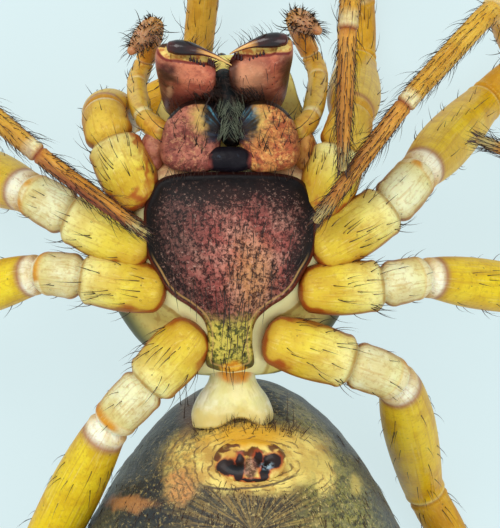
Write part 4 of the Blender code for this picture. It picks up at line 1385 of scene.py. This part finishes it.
def chelicera_bristles(side):
    """Bristles along the far edge, on the rear wall, on the face, and in the gap between the jaws."""
    rng = random.Random("chelicera " + side)
    shape = CHELICERA_SIDES[side]
    sign, inner = shape["sign"], shape["inner"]
    hairs = []
    for _ in range(22):
        t = rng.uniform(0.05, 0.8)
        point = bezier(FANG_PATHS[side], t)[0]
        root = Vector((point.x, point.y + rng.uniform(0.0, 0.02), 1.172))
        way = Vector((rng.uniform(-0.4, 0.4), 0.7, 0.7))
        hairs.append((root, way, Vector((-sign * 0.5, 0.1, -0.4)), rng.uniform(0.04, 0.07), 0.0014, (t, 0.9)))
    for _ in range(22):
        z = rng.uniform(0.95, 1.15)
        y = along(LEVEL_TABLES[0], z) + shape["forward"] - along(LEVEL_TABLES[2], z) * 0.9
        x = inner + sign * rng.uniform(0.01, 0.20)
        way = Vector((rng.uniform(-0.3, 0.3), -0.5, 0.9))
        spot = (0.5 + x, z / 2)
        hairs.append((Vector((x, y, z)), way, Vector((0, 0.5, 0)), rng.uniform(0.03, 0.06), 0.0014, spot))
    for _ in range(12):
        t = rng.uniform(0.1, 0.9)
        point = bezier(FANG_PATHS[side], t)[0]
        root = Vector((point.x, point.y - rng.uniform(0.05, 0.12), 1.170))
        way = Vector((rng.uniform(-0.6, 0.2), -0.8, 0.35))
        hairs.append((root, way, Vector((0.2, -0.1, -0.4)), rng.uniform(0.03, 0.06), 0.0013, (t, 0.5)))
    for _ in range(40):
        y = rng.uniform(0.60, 0.71)
        root = Vector((inner + sign * 0.008, y, 1.10 + (y - 0.60) * 0.5))
        way = Vector((-sign * 0.7, rng.uniform(-0.2, 0.5), 0.5))
        hairs.append((root, way, Vector((0, 0.2, -0.2)), rng.uniform(0.02, 0.04), 0.0015, (0.5, y / 2)))
    return hairs


for side in CHELICERA_SIDES:
    jaw = chelicera(side)
    piece(f"chelicera_shell_{side}", jaw, chelicera_finish(side), [f"chelicera_{side}"])
    coat(f"bristles_chelicera_{side}", chelicera_bristles(side), DARK_HAIR)

# %% [markdown]
# ## Fangs and teeth
#
# A fang is a curved, tapering claw: black-red at its thick base and clearer towards the tip. A pale stripe
# along its top is painted light: a faint highlight on the dark base and light shining through the clear tip.
# It is a tube along its own curve, and the teeth are small curved cones made the same way, in two rows a
# side.

# %% Fangs and teeth
FANG_RADII = [
    (0.0, 0.022), (0.12, 0.0275), (0.30, 0.0250), (0.45, 0.0180), (0.60, 0.0115), (0.80, 0.0072),
    (1.0, 0.002),
]
FANG_WALL = ((0.0, "4A120C"), (0.10, "14060A"), (0.40, "1C0808"), (0.60, "4E120C"), (0.95, "7E2E18"))
FANG_PAINTED_LIGHT = ((0.0, "3A0E0C"), (0.20, "1A080C"), (0.42, "3A120E"), (0.58, "D89A50"), (0.95, "EEC26C"))
TOOTH_ROWS = {
    "left": (((0.069, 0.700), (0.118, 0.726), 5), ((0.018, 0.722), (0.040, 0.712), 3)),
    "right": (((-0.092, 0.684), (-0.138, 0.706), 5), ((-0.058, 0.692), (-0.074, 0.700), 3)),
}
TOOTH_ROOT_Z = 1.180
TOOTH_LENGTH = 0.027
TOOTH_RADIUS = 0.0066


def fang_finish():
    f = Finish("fang_shell", 0.22, 0.35, Coat_Weight=0.35, Coat_Roughness=0.12)
    place = f.mark("place")
    # The pale stripe along the fang's top is painted light, laid over the wall colours of its sides.
    lit_stripe = f.plus(f.mark("up"), f.times(f.noise(1.0, 2.0, 0.5, f.flat(30, 3)), 0.8))
    f.paint(f.mix(f.span(lit_stripe, 1.18, 1.34), f.ramp(place, *FANG_WALL), f.ramp(place, *FANG_PAINTED_LIGHT)))
    return f.relief(f.noise(60.0, 2.0), 0.001, 0.4)


def tooth_finish():
    f = Finish("tooth_shell", 0.25, 0.4)
    f.paint(f.ramp(f.mark("place"), (0.0, "3A0A0C"), (0.6, "240608"), (1.0, "5A1A12")))
    return f.material


def fang_rows(side):
    rows = []
    for i in range(41):
        point, ahead = bezier(FANG_PATHS[side], i / 40)
        rows.append((point, ahead, along(FANG_RADII, i / 40), i / 40))
    return close_ends(rows, 0.7, 0.9)


def teeth(side):
    """The rows of teeth behind the fang, as one mesh of small curved cones."""
    joined = bmesh.new()
    for inner, outer, count in TOOTH_ROWS[side]:
        for i in range(count):
            share = i / (count - 1)
            root = Vector((*inner, TOOTH_ROOT_Z)).lerp(Vector((*outer, TOOTH_ROOT_Z)), share)
            length = TOOTH_LENGTH * (1.1 - 0.35 * abs(share - 0.45))
            rows = []
            for step in range(7):
                t = step / 6
                point = root + Vector((0, 0.60 * t + 0.25 * t * t, 0.6 * t)) * length
                rows.append((point, Vector((0, 0.8, 0.6)), TOOTH_RADIUS * (1 - t) ** 0.7 + 0.0006, t))
            cone = tube(close_ends(rows, 0.5, 0.8, 3), 10)
            mesh = bpy.data.meshes.new("tooth")
            cone.to_mesh(mesh)
            cone.free()
            joined.from_mesh(mesh)
            bpy.data.meshes.remove(mesh)
    return joined


FANG_SHELL = fang_finish()
TOOTH_SHELL = tooth_finish()
for side in FANG_PATHS:
    piece(f"fang_shell_{side}", tube(fang_rows(side), 28), FANG_SHELL, [f"fang_{side}"])
    piece(f"teeth_{side}", teeth(side), TOOTH_SHELL)

# %% [markdown]
# ## Eyes
#
# Eight small eyes sit on the front of the back shell, four in each of two rows. They face the floor
# here, so the picture doesn't show them. Each is a glossy dark bead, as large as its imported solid.


# %% Eyes
def eye_finish():
    f = Finish("eye_glass", 0.08, Coat_Weight=1.0, Coat_Roughness=0.03)
    f.paint(f.mix(f.noise(20.0), "0A0806", "2A1A0C"))
    return f.material


EYE_GLASS = eye_finish()
for name in ("front_middle", "front_side", "rear_middle", "rear_side"):
    for side, _ in SIDES:
        node = f"eye_{name}_{side}"
        low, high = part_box(node)
        middle = ((low + high) / 2 - SHIFT) / MM
        radius = (high.x - low.x) / 2 / MM
        bead = bmesh.new()
        bmesh.ops.create_uvsphere(bead, u_segments=32, v_segments=20, radius=radius)
        bmesh.ops.translate(bead, verts=bead.verts, vec=(middle.x, middle.y, low.z / MM + radius))
        piece(f"lens_{name}_{side}", bead, EYE_GLASS, [node])

# %% [markdown]
# ## The abdomen
#
# The abdomen is a soft egg, finely folded across. It is dark olive with a net of darker lines and small pale
# flecks, bluish black on the animal's right and yellower on its left. Round the epigyne lies a golden field
# with folds in rings, and behind that a fan of brown ribs. The larger folds are real relief. The finer ones
# are left to the finish, which paints their creases dark as painted shade.

# %% Abdomen shape
ABDOMEN_X = 0.049
ABDOMEN_FRONT = -0.405
ABDOMEN_LENGTH = 1.72
ABDOMEN_HALF_WIDTH = 1.02
ABDOMEN_MIDDLE_Y = -1.265
ABDOMEN_MIDDLE_Z = 0.55
ABDOMEN_UP = 0.62
ABDOMEN_DOWN = 0.575
ABDOMEN_ROUNDING = 2.6


def abdomen_place(u, v):
    t = 0.5 - 0.5 * math.cos(math.pi * v)
    width = ABDOMEN_HALF_WIDTH * math.sqrt(t) * math.sqrt(max(0.0, 1 - t**ABDOMEN_ROUNDING))
    height = math.sqrt(max(0.0, 1 - abs(1 - 2 * t) ** ABDOMEN_ROUNDING))
    side, rise = math.cos(2 * math.pi * u), math.sin(2 * math.pi * u)
    x = ABDOMEN_X + width * side
    y = ABDOMEN_FRONT - ABDOMEN_LENGTH * t
    z = ABDOMEN_MIDDLE_Z + (ABDOMEN_UP if rise > 0 else ABDOMEN_DOWN) * height * rise
    fold = 0.006 * rough((x * 2, y * 9, z * 2), 2.2) + 0.004 * rough((x, y, z), 16.0)
    return x + side * fold, y, max(0.0, z + rise * fold), rise


FOLD_WAVES = 420.0
FIELD_SPOTS = (
    (seen(247, 459), (0.290, 0.125), 0.22, (9.0, 0.10)), (seen(180, 486), (0.060, 0.055), 0.4, (16.0, 0.10)),
    (seen(325, 478), (0.036, 0.060), 0.4, (18.0, 0.08)),
)
ABDOMEN_PATCHES = (
    ("7E5A44", 0.7, seen(190, 414), (0.040, 0.060), 0.6, (16.0, 0.06)),
    ("B8783C", 0.8, seen(130, 505), (0.085, 0.022), 0.6, (16.0, 0.08)),
    ("D8BC5C", 0.75, seen(357, 486), (0.022, 0.030), 0.6, (18.0, 0.06)),
    ("D8BC5C", 0.75, seen(316, 466), (0.05, 0.04), 0.6, (18.0, 0.06)),
)


def abdomen_finish():
    f = Finish("abdomen_skin", 0.50, soak=(0.08, (1.0, 0.7, 0.4), 0.04), Sheen_Weight=0.1)
    x, y = f.axis("X"), f.axis("Y")
    shake = f.shake(12.0, 0.05, 4.0)

    # The golden field, painted first and kept
    arcs = f.vector("LENGTH", f.moved(f.mm, (-0.065, 0.70, 0), (0.55, 1, 0)))
    arcs = f.plus(arcs, shake)
    folds = f.span(f.calc("SINE", f.times(arcs, FOLD_WAVES)), 0.50, 0.95)
    folds = f.times(folds, f.specks(20.0, 0.42, 0.56))
    rim = f.times(f.span(arcs, 0.120, 0.150), f.specks(70.0, 0.45, 0.60, 3.0, 0.7, 0.6))
    f.paint(f.mix(f.specks(16.0, 0.40, 0.62, 4.0, 0.6), "F0D470", "C89C44"))
    f.lay("E0A824", f.spot(seen(247, 436), (0.14, 0.045), 0.6, (16.0, 0.06)))
    f.lay("CC8448", f.spot(seen(180, 490), (0.07, 0.06), 0.6, (16.0, 0.08)), 0.85)
    # Dark lines along the fine folds: painted shade in their creases.
    f.lay("5E3C18", folds, 0.70)
    f.lay("5C5430", rim)
    golden = f.colour

    # The dark skin
    belly = f.times(f.span(y, -1.25, -0.90), f.span(f.mark("up"), 0.30, 0.70))
    olive = f.span(f.plus(f.span(x, 0.10, 0.34), f.noise(8.0, 4.0)), 0.75, 1.25)
    clumps = f.times(f.specks(17.0, 0.47, 0.60, 4.0, 0.65), f.span(x, -0.25, 0.20, 0.06, 0.5))
    ribs = f.specks(1.0, 0.44, 0.60, 4.0, 0.65, place=f.fan(seen(252, 532), 18.0, 7.0))
    below = f.times(f.span(y, -0.75, -0.80), f.spot(seen(250, 515), (0.24, 0.16), 0.6, (9.0, 0.14)))
    flecks = f.specks(62.0, 0.55, 0.64, 4.0, 0.8)
    f.paint(f.mix(f.specks(6.0, 0.38, 0.62, 4.0), "1C1E18", "3A3A22"))
    f.lay("4A4A30", f.specks(3.0, 0.45, 0.60))
    f.lay("10161C", f.times(f.span(x, 0.05, -0.22), belly), 0.85)
    f.lay("8A8236", f.times(olive, belly), 0.90)
    f.lay("0A0A0C", f.specks(55.0, 0.46, 0.56, 4.0, 0.75), 0.78)
    f.lay("98905A", f.times(clumps, belly))
    f.lay(f.mix(ribs, "2E2012", "9A7838"), below, 0.72)
    f.lay("CBB068", f.times(flecks, belly, f.span(x, -0.1, 0.3, 0.45, 0.8)))
    f.lay("B49C60", flecks, 0.36)

    # The field over the skin, the furrow behind the epigyne drawn as a line of painted shade, and single
    # patches
    field = 0.0
    for spot in FIELD_SPOTS:
        field = f.highest(f.spot(*spot), field)
    f.lay(golden, field)
    bow = f.times(f.calc("POWER", f.size(x, 0.01), 2.0), 0.9)
    furrow = f.calc("SUBTRACT", f.plus(y, f.times(shake, 0.35)), bow)
    # The furrow's dark line: painted shade.
    f.lay("3A2614", f.times(f.line(furrow, -0.7875, 0.006, 0.002), f.line(x, 0.07, 0.19, 0.14)), 0.85)
    for colour, amount, *spot in ABDOMEN_PATCHES:
        f.lay(colour, f.spot(*spot), amount)
    creases = f.noise(1.0, 4.0, 0.6, f.flat(60, 260))
    return f.relief(f.plus(f.plus(creases, f.noise(50.0)), f.times(folds, -0.4)), 0.006)


egg = skin(160, 150, abdomen_place, ("up",))
piece("abdomen_skin", egg, abdomen_finish(), ["abdomen"])

# %% [markdown]
# ## Hair of the abdomen
#
# Fine brown hair lies back over the whole abdomen. An arc of short dark bristles stands before the
# epigyne, a few long ones beside the waist, and very short ones behind the epigyne.

# %% Hair of the abdomen
LONG_BRISTLES = (
    (-0.175, -0.50), (-0.150, -0.50), (-0.165, -0.545), (-0.13, -0.54), (0.20, -0.56), (0.225, -0.575),
)
BEFORE_EPIGYNE, BEHIND_EPIGYNE = 150, 900
ALL_ABDOMEN_HAIRS = 2600


def belly_root(x, y):
    """The point of the abdomen under a point seen from the belly side, and its place on the flat map."""
    t = (ABDOMEN_FRONT - y) / ABDOMEN_LENGTH
    width = ABDOMEN_HALF_WIDTH * math.sqrt(t) * math.sqrt(1 - t**ABDOMEN_ROUNDING)
    u, v = math.acos((x - ABDOMEN_X) / width) / (2 * math.pi), math.acos(1 - 2 * t) / math.pi
    return Vector(abdomen_place(u, v)[:3]), (u, v)


def abdomen_bristles():
    rng = random.Random("abdomen")
    hairs = []
    for _ in range(BEFORE_EPIGYNE):
        x = rng.uniform(-0.13, 0.26)
        root, spot = belly_root(x, -0.555 - 0.9 * (x - 0.05) ** 2 - abs(rng.gauss(0, 0.020)))
        way = Vector((2.0 * (x - 0.05) + rng.uniform(-0.5, 0.5), 0.7, 0.45))
        hairs.append((root, way, Vector((0, 0.2, -0.3)), rng.uniform(0.03, 0.06), 0.0011, spot))
    for x, y in LONG_BRISTLES:
        root, spot = belly_root(x, y)
        way = Vector((rng.uniform(-0.4, 0.1), 1.0, 0.35))
        hairs.append((root, way, Vector((0, 0.1, -0.1)), rng.uniform(0.09, 0.13), 0.0017, spot))
    for _ in range(BEHIND_EPIGYNE):
        root, spot = belly_root(rng.uniform(-0.40, 0.49), rng.uniform(-1.0, -0.78))
        way = Vector((rng.uniform(-0.6, 0.6), -0.9, 0.35))
        hairs.append((root, way, Vector((0, -0.2, -0.3)), rng.uniform(0.018, 0.035), 0.0013, spot))
    while len(hairs) < ALL_ABDOMEN_HAIRS:
        u, v = rng.random(), math.acos(1 - 2 * rng.random()) / math.pi
        x, y, z, _ = abdomen_place(u, v)
        if z < 0.04:
            continue
        out = Vector((x - ABDOMEN_X, (y - ABDOMEN_MIDDLE_Y) * 0.3, (z - ABDOMEN_MIDDLE_Z) * 1.5)).normalized()
        way = out * 0.50 + Vector((rng.uniform(-0.4, 0.4), -0.8, 0))
        bend = Vector((rng.uniform(-0.1, 0.1), -0.25, 0)) - out * 0.15
        hairs.append((Vector((x, y, z)) - out * 0.002, way, bend, rng.uniform(0.04, 0.08), 0.0013, (u, v)))
    return hairs


coat("hair_abdomen", abdomen_bristles(), BROWN_HAIR)

# %% [markdown]
# ## Epigyne
#
# The epigyne is a small hard plate on the belly of a grown female, with a speckled tongue in its
# middle and dark pits on either side. Two pits, the tongue and a lip are real relief, and the exact
# edges of the pits are painted, because they are only a few hundredths of a millimetre across.

# %% Epigyne
EPIGYNE_MIDDLE = Vector((0.070, -0.690, 1.050))
EPIGYNE_HALF = (0.128, 0.086, 0.034)
EPIGYNE_SLOPE = math.radians(30)
BRIM = 1.6
EPIGYNE_ARCS = (
    (seen(214, 456), (0.024, 0.016)), (seen(222, 450), (0.028, 0.012)), (seen(232, 446), (0.026, 0.008)),
    (seen(276, 447), (0.026, 0.014)), (seen(282, 456), (0.012, 0.026)), (seen(250, 452), (0.052, 0.010)),
)
PITS = (
    (226, 467, 9.6, 8.0), (233, 470, 6.0, 5.0), (240, 462, 4.6, 9.0), (239, 473, 5.4, 9.0),
    (258, 460, 4.6, 8.0), (272, 461, 9.4, 8.2), (266, 468, 5.0, 6.0), (264, 475, 4.6, 6.5),
    (252, 480, 11.0, 2.2),
)


def epigyne_dent(x, y):
    """The relief of the plate: two pits, a tongue between them, and a raised front lip."""
    z = -0.020 * bell(math.hypot((x + 0.040) / 1.1, y + 0.008), 0.030)
    z -= 0.020 * bell(math.hypot((x - 0.052) / 1.1, y + 0.006), 0.026)
    z += 0.016 * bell(x - 0.006, 0.022) * bell(y + 0.006, 0.050)
    return z + 0.006 * bell(y - 0.055, 0.014)


def epigyne_finish():
    f = Finish("epigyne_shell", 0.42, 0.25, Coat_Weight=0.08, Coat_Roughness=0.15)
    f.paint(f.mix(f.specks(16.0, 0.40, 0.62, 4.0, 0.6), "EED070", "CC9C44"))
    f.lay("E0A428", f.spot(seen(250, 438), (0.11, 0.030), 0.5, (18.0, 0.04)))
    for centre, radii in EPIGYNE_ARCS:
        f.lay("4E0E0C", f.spot(centre, radii, 0.35, (30.0, 0.05)), 0.90)
    for colour, wider, soft, amount in (("B4441E", BRIM, 0.25, 0.85), ("07080E", 0.0, 0.14, 0.97)):
        for x, y, across, down in PITS:
            radii = ((across + wider) * PIXEL, (down + wider) * PIXEL)
            f.lay(colour, f.spot(seen(x, y), radii, soft, (30.0, 0.03)), amount)
    tongue = f.mix(f.specks(70.0, 0.44, 0.60, 3.0, 0.7), "4A2620", "9E6E58")
    f.lay(tongue, f.spot(seen(250.5, 468), (0.024, 0.038), 0.25, (20.0, 0.02)), 0.92)
    # Blue-white specks beside the right pits: painted highlights.
    f.lay("A8C0CC", f.times(f.spot(seen(267, 466), (0.020, 0.012), 0.7), f.specks(60.0, 0.45, 0.6)), 0.8)
    return f.relief(f.noise(60.0), 0.002, 0.5)


plate = block((0, 0, 0), EPIGYNE_HALF, 0.97, 0.0, 96, 64, epigyne_dent)
bmesh.ops.rotate(plate, cent=(0, 0, 0), matrix=Matrix.Rotation(-EPIGYNE_SLOPE, 3, "X"), verts=plate.verts)
bmesh.ops.translate(plate, verts=plate.verts, vec=EPIGYNE_MIDDLE)
piece("epigyne_plate", plate, epigyne_finish(), ["epigyne"])

# %% [markdown]
# ## Waist
#
# The waist is short and soft, cream with fine folds down its length, an orange plate at its front and
# a golden edge where it meets the abdomen. It is lofted through a few wide, flat sections.

# %% Waist
PEDICEL_X = 0.008
PEDICEL_START = 0.33
PEDICEL_LENGTH = 0.265
PEDICEL_CAP = 0.08
PEDICEL_SECTIONS = [
    (0.33, 0.075, 0.065, 0.87), (0.41, 0.085, 0.075, 0.885), (0.47, 0.125, 0.085, 0.89),
    (0.53, 0.145, 0.095, 0.885), (0.60, 0.135, 0.090, 0.87),
]
PEDICEL_TABLES = [[(row[0], row[i]) for row in PEDICEL_SECTIONS] for i in (1, 2, 3)]


def pedicel_place(u, v):
    y = PEDICEL_START + PEDICEL_LENGTH * v
    half_width, half_height, middle = (along(table, y) for table in PEDICEL_TABLES)
    side, rise = math.cos(2 * math.pi * u), math.sin(2 * math.pi * u)
    shrink = min(1.0, math.sin(math.pi / 2 * min(1.0, min(v, 1 - v) / PEDICEL_CAP)) + 1e-4)
    x = half_width * signed_power(side, 0.8) * shrink
    z = half_height * signed_power(rise, 0.8) * shrink
    z *= 1 - 0.25 * bell(x, 0.035) * max(0.0, rise)
    ridge = 0.004 * rough((x, -y, z), 26.0)
    y -= 0.045 * bell(x - 0.03, 0.06) * max(0.0, v - 0.5) * 2
    return PEDICEL_X + x * (1 + ridge), -y, middle + z + ridge, rise


def pedicel_finish():
    f = Finish("waist_skin", 0.45, soak=(0.4, (1.0, 0.8, 0.5), 0.06), Coat_Weight=0.2, Coat_Roughness=0.3)
    tail = f.plus(f.axis("Y"), f.shake(24.0, 0.06, 4.0))
    f.paint(f.mix(f.specks(18.0, 0.40, 0.62, 4.0), "E8E5C6", "D2CB94"))
    f.lay("EBDD84", f.spot(seen(238, 398), (0.075, 0.09), 0.6, (12.0, 0.06)), 0.7)
    f.lay("DC9428", f.spot(seen(235, 373), (0.060, 0.036), 0.3, (24.0, 0.02)))
    f.lay("C9B878", f.specks(1.0, 0.50, 0.66, 3.0, 0.5, place=f.flat(40, 5)), 0.4)
    f.lay("DCC068", f.span(tail, -0.475, -0.555), 0.85)
    return f.relief(f.noise(1.0, 3.0, 0.5, f.flat(40, 8)), 0.006, 0.7)


waist = skin(72, 60, pedicel_place, ("up",))
piece("waist_skin", waist, pedicel_finish(), ["pedicel"])

# %% [markdown]
# ## Spinnerets
#
# Four spinnerets stand at the rear end, outside the picture. Each is a short cone of two rings with
# fine hair, made as a limb is, from one table of its thickness.

# %% Spinnerets
SPINNERETS = [("front", 0.055, -1.870, 0.058), ("rear", 0.046, -1.975, 0.046)]
SPINNERET_Z = 0.86
SPINNERET_LENGTH = 0.25
SPINNERET_SHAPE = [
    (0.0, 0.9), (0.3, 1.0), (0.54, 0.93), (0.58, 0.80), (0.62, 0.88), (0.85, 0.70), (1.0, 0.35),
]
SPINNERET_BANDS = ((0.0, "3A3620"), (0.52, "8A6A34"), (0.58, "D0B878"), (0.64, "7A5A2C"), (1.0, "B08A50"))
SPINNERET_HAIR = ((0.3, 0.99, 46, (0.03, 0.06), (15, 40), 0.0015),)


def spinneret_finish():
    f = Finish("spinneret_skin", 0.48)
    f.paint(f.ramp(f.mark("place"), *SPINNERET_BANDS))
    f.lay("2E2616", f.specks(30.0, 0.5, 0.65), 0.5)
    return f.relief(f.noise(50.0), 0.003, 0.5)


SPINNERET_SKIN = spinneret_finish()
for name, out, y, radius in SPINNERETS:
    for side, sign in SIDES:
        root = Vector((ABDOMEN_X + sign * out, y, SPINNERET_Z))
        way = Vector((sign * 0.10, -0.62, 0.78)).normalized()
        rows = []
        for i in range(25):
            t = i / 24
            rows.append((root + way * SPINNERET_LENGTH * i / 24, way, radius * along(SPINNERET_SHAPE, t), t))
        rows = close_ends(rows, 0.4, 0.6)
        node = f"spinneret_{name}_{side}"
        piece(f"{node}_skin", tube(rows, 32), SPINNERET_SKIN, [node])
        hairs = plant(random.Random(name + side), framed(rows), SPINNERET_HAIR)
        coat(f"hair_{node}", hairs, BROWN_HAIR)

# %% [markdown]
# ## Floor, light and camera
#
# The picture was taken from straight above, on a pale ground and in soft light. Two wide lamps and a
# bright sky light the model almost without shadow. A long lens a few centimetres away sees the small
# animal almost without perspective.

# %% Floor
FLOOR_SIZE = 200
floor = Finish("floor_pale", 0.9, 0.1, Emission_Color=tint("D9EDF0"), Emission_Strength=0.854)
floor.paint(floor.mix(floor.noise(0.05), "677072", "636C6E"))
sheet = bmesh.new()
bmesh.ops.create_grid(sheet, x_segments=1, y_segments=1, size=FLOOR_SIZE)
sheet.transform(TO_METRES)
mesh = bpy.data.meshes.new("floor")
sheet.to_mesh(mesh)
sheet.free()
mesh.materials.append(floor.material)
ground = bpy.data.objects.new("floor", mesh)
bpy.context.scene.collection.objects.link(ground)
ground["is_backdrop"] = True
print("floor is", round(ground.dimensions.x, 2), "m wide")

# %% Light
LAMPS = (
    ("key", (-12, 12, 26), 18, 0.0042, (1.0, 0.98, 0.95)),
    ("fill", (16, -8, 22), 20, 0.0022, (0.97, 0.98, 1.0)),
)
for name, place, size, power, colour in LAMPS:
    lamp = bpy.data.lights.new(name, "AREA")
    lamp.shape = "SQUARE"
    lamp.size = size * MM
    lamp.energy = power
    lamp.color = colour
    lit = bpy.data.objects.new(name, lamp)
    lit.location = Vector(place) * MM
    aim = Vector((0, 0, 0.8)) * MM - lit.location
    lit.rotation_euler = aim.to_track_quat("-Z", "Y").to_euler()
    bpy.context.scene.collection.objects.link(lit)
SKY_COLOUR, SKY_STRENGTH = "E6F1F4", 0.90
world = bpy.data.worlds.new("studio")
world.use_nodes = True
world.node_tree.nodes["Background"].inputs["Color"].default_value = tint(SKY_COLOUR)
world.node_tree.nodes["Background"].inputs["Strength"].default_value = SKY_STRENGTH
bpy.context.scene.world = world
bpy.context.scene.view_settings.view_transform = "Standard"
print("lamps:", len(bpy.data.lights))

# %% Camera
LENS = 600
SENSOR = 36
FRAME_HEIGHT = 528 * PIXEL
FOCUS_Z = 1.1
camera = bpy.data.cameras.new("camera")
camera.lens = LENS
camera.sensor_width = SENSOR
camera.clip_start = 0.0005
camera.clip_end = 10
camera.dof.use_dof = False
eye = bpy.data.objects.new("camera", camera)
distance = FRAME_HEIGHT * LENS / SENSOR
eye.location = TO_METRES @ Vector((*seen(250, 264), FOCUS_Z + distance))
bpy.context.scene.collection.objects.link(eye)
bpy.context.scene.camera = eye
print("camera distance in mm:", round(distance, 1))

# %% Finish
low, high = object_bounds()
print("visual size in mm:", [round(v * 1000, 2) for v in high - low])
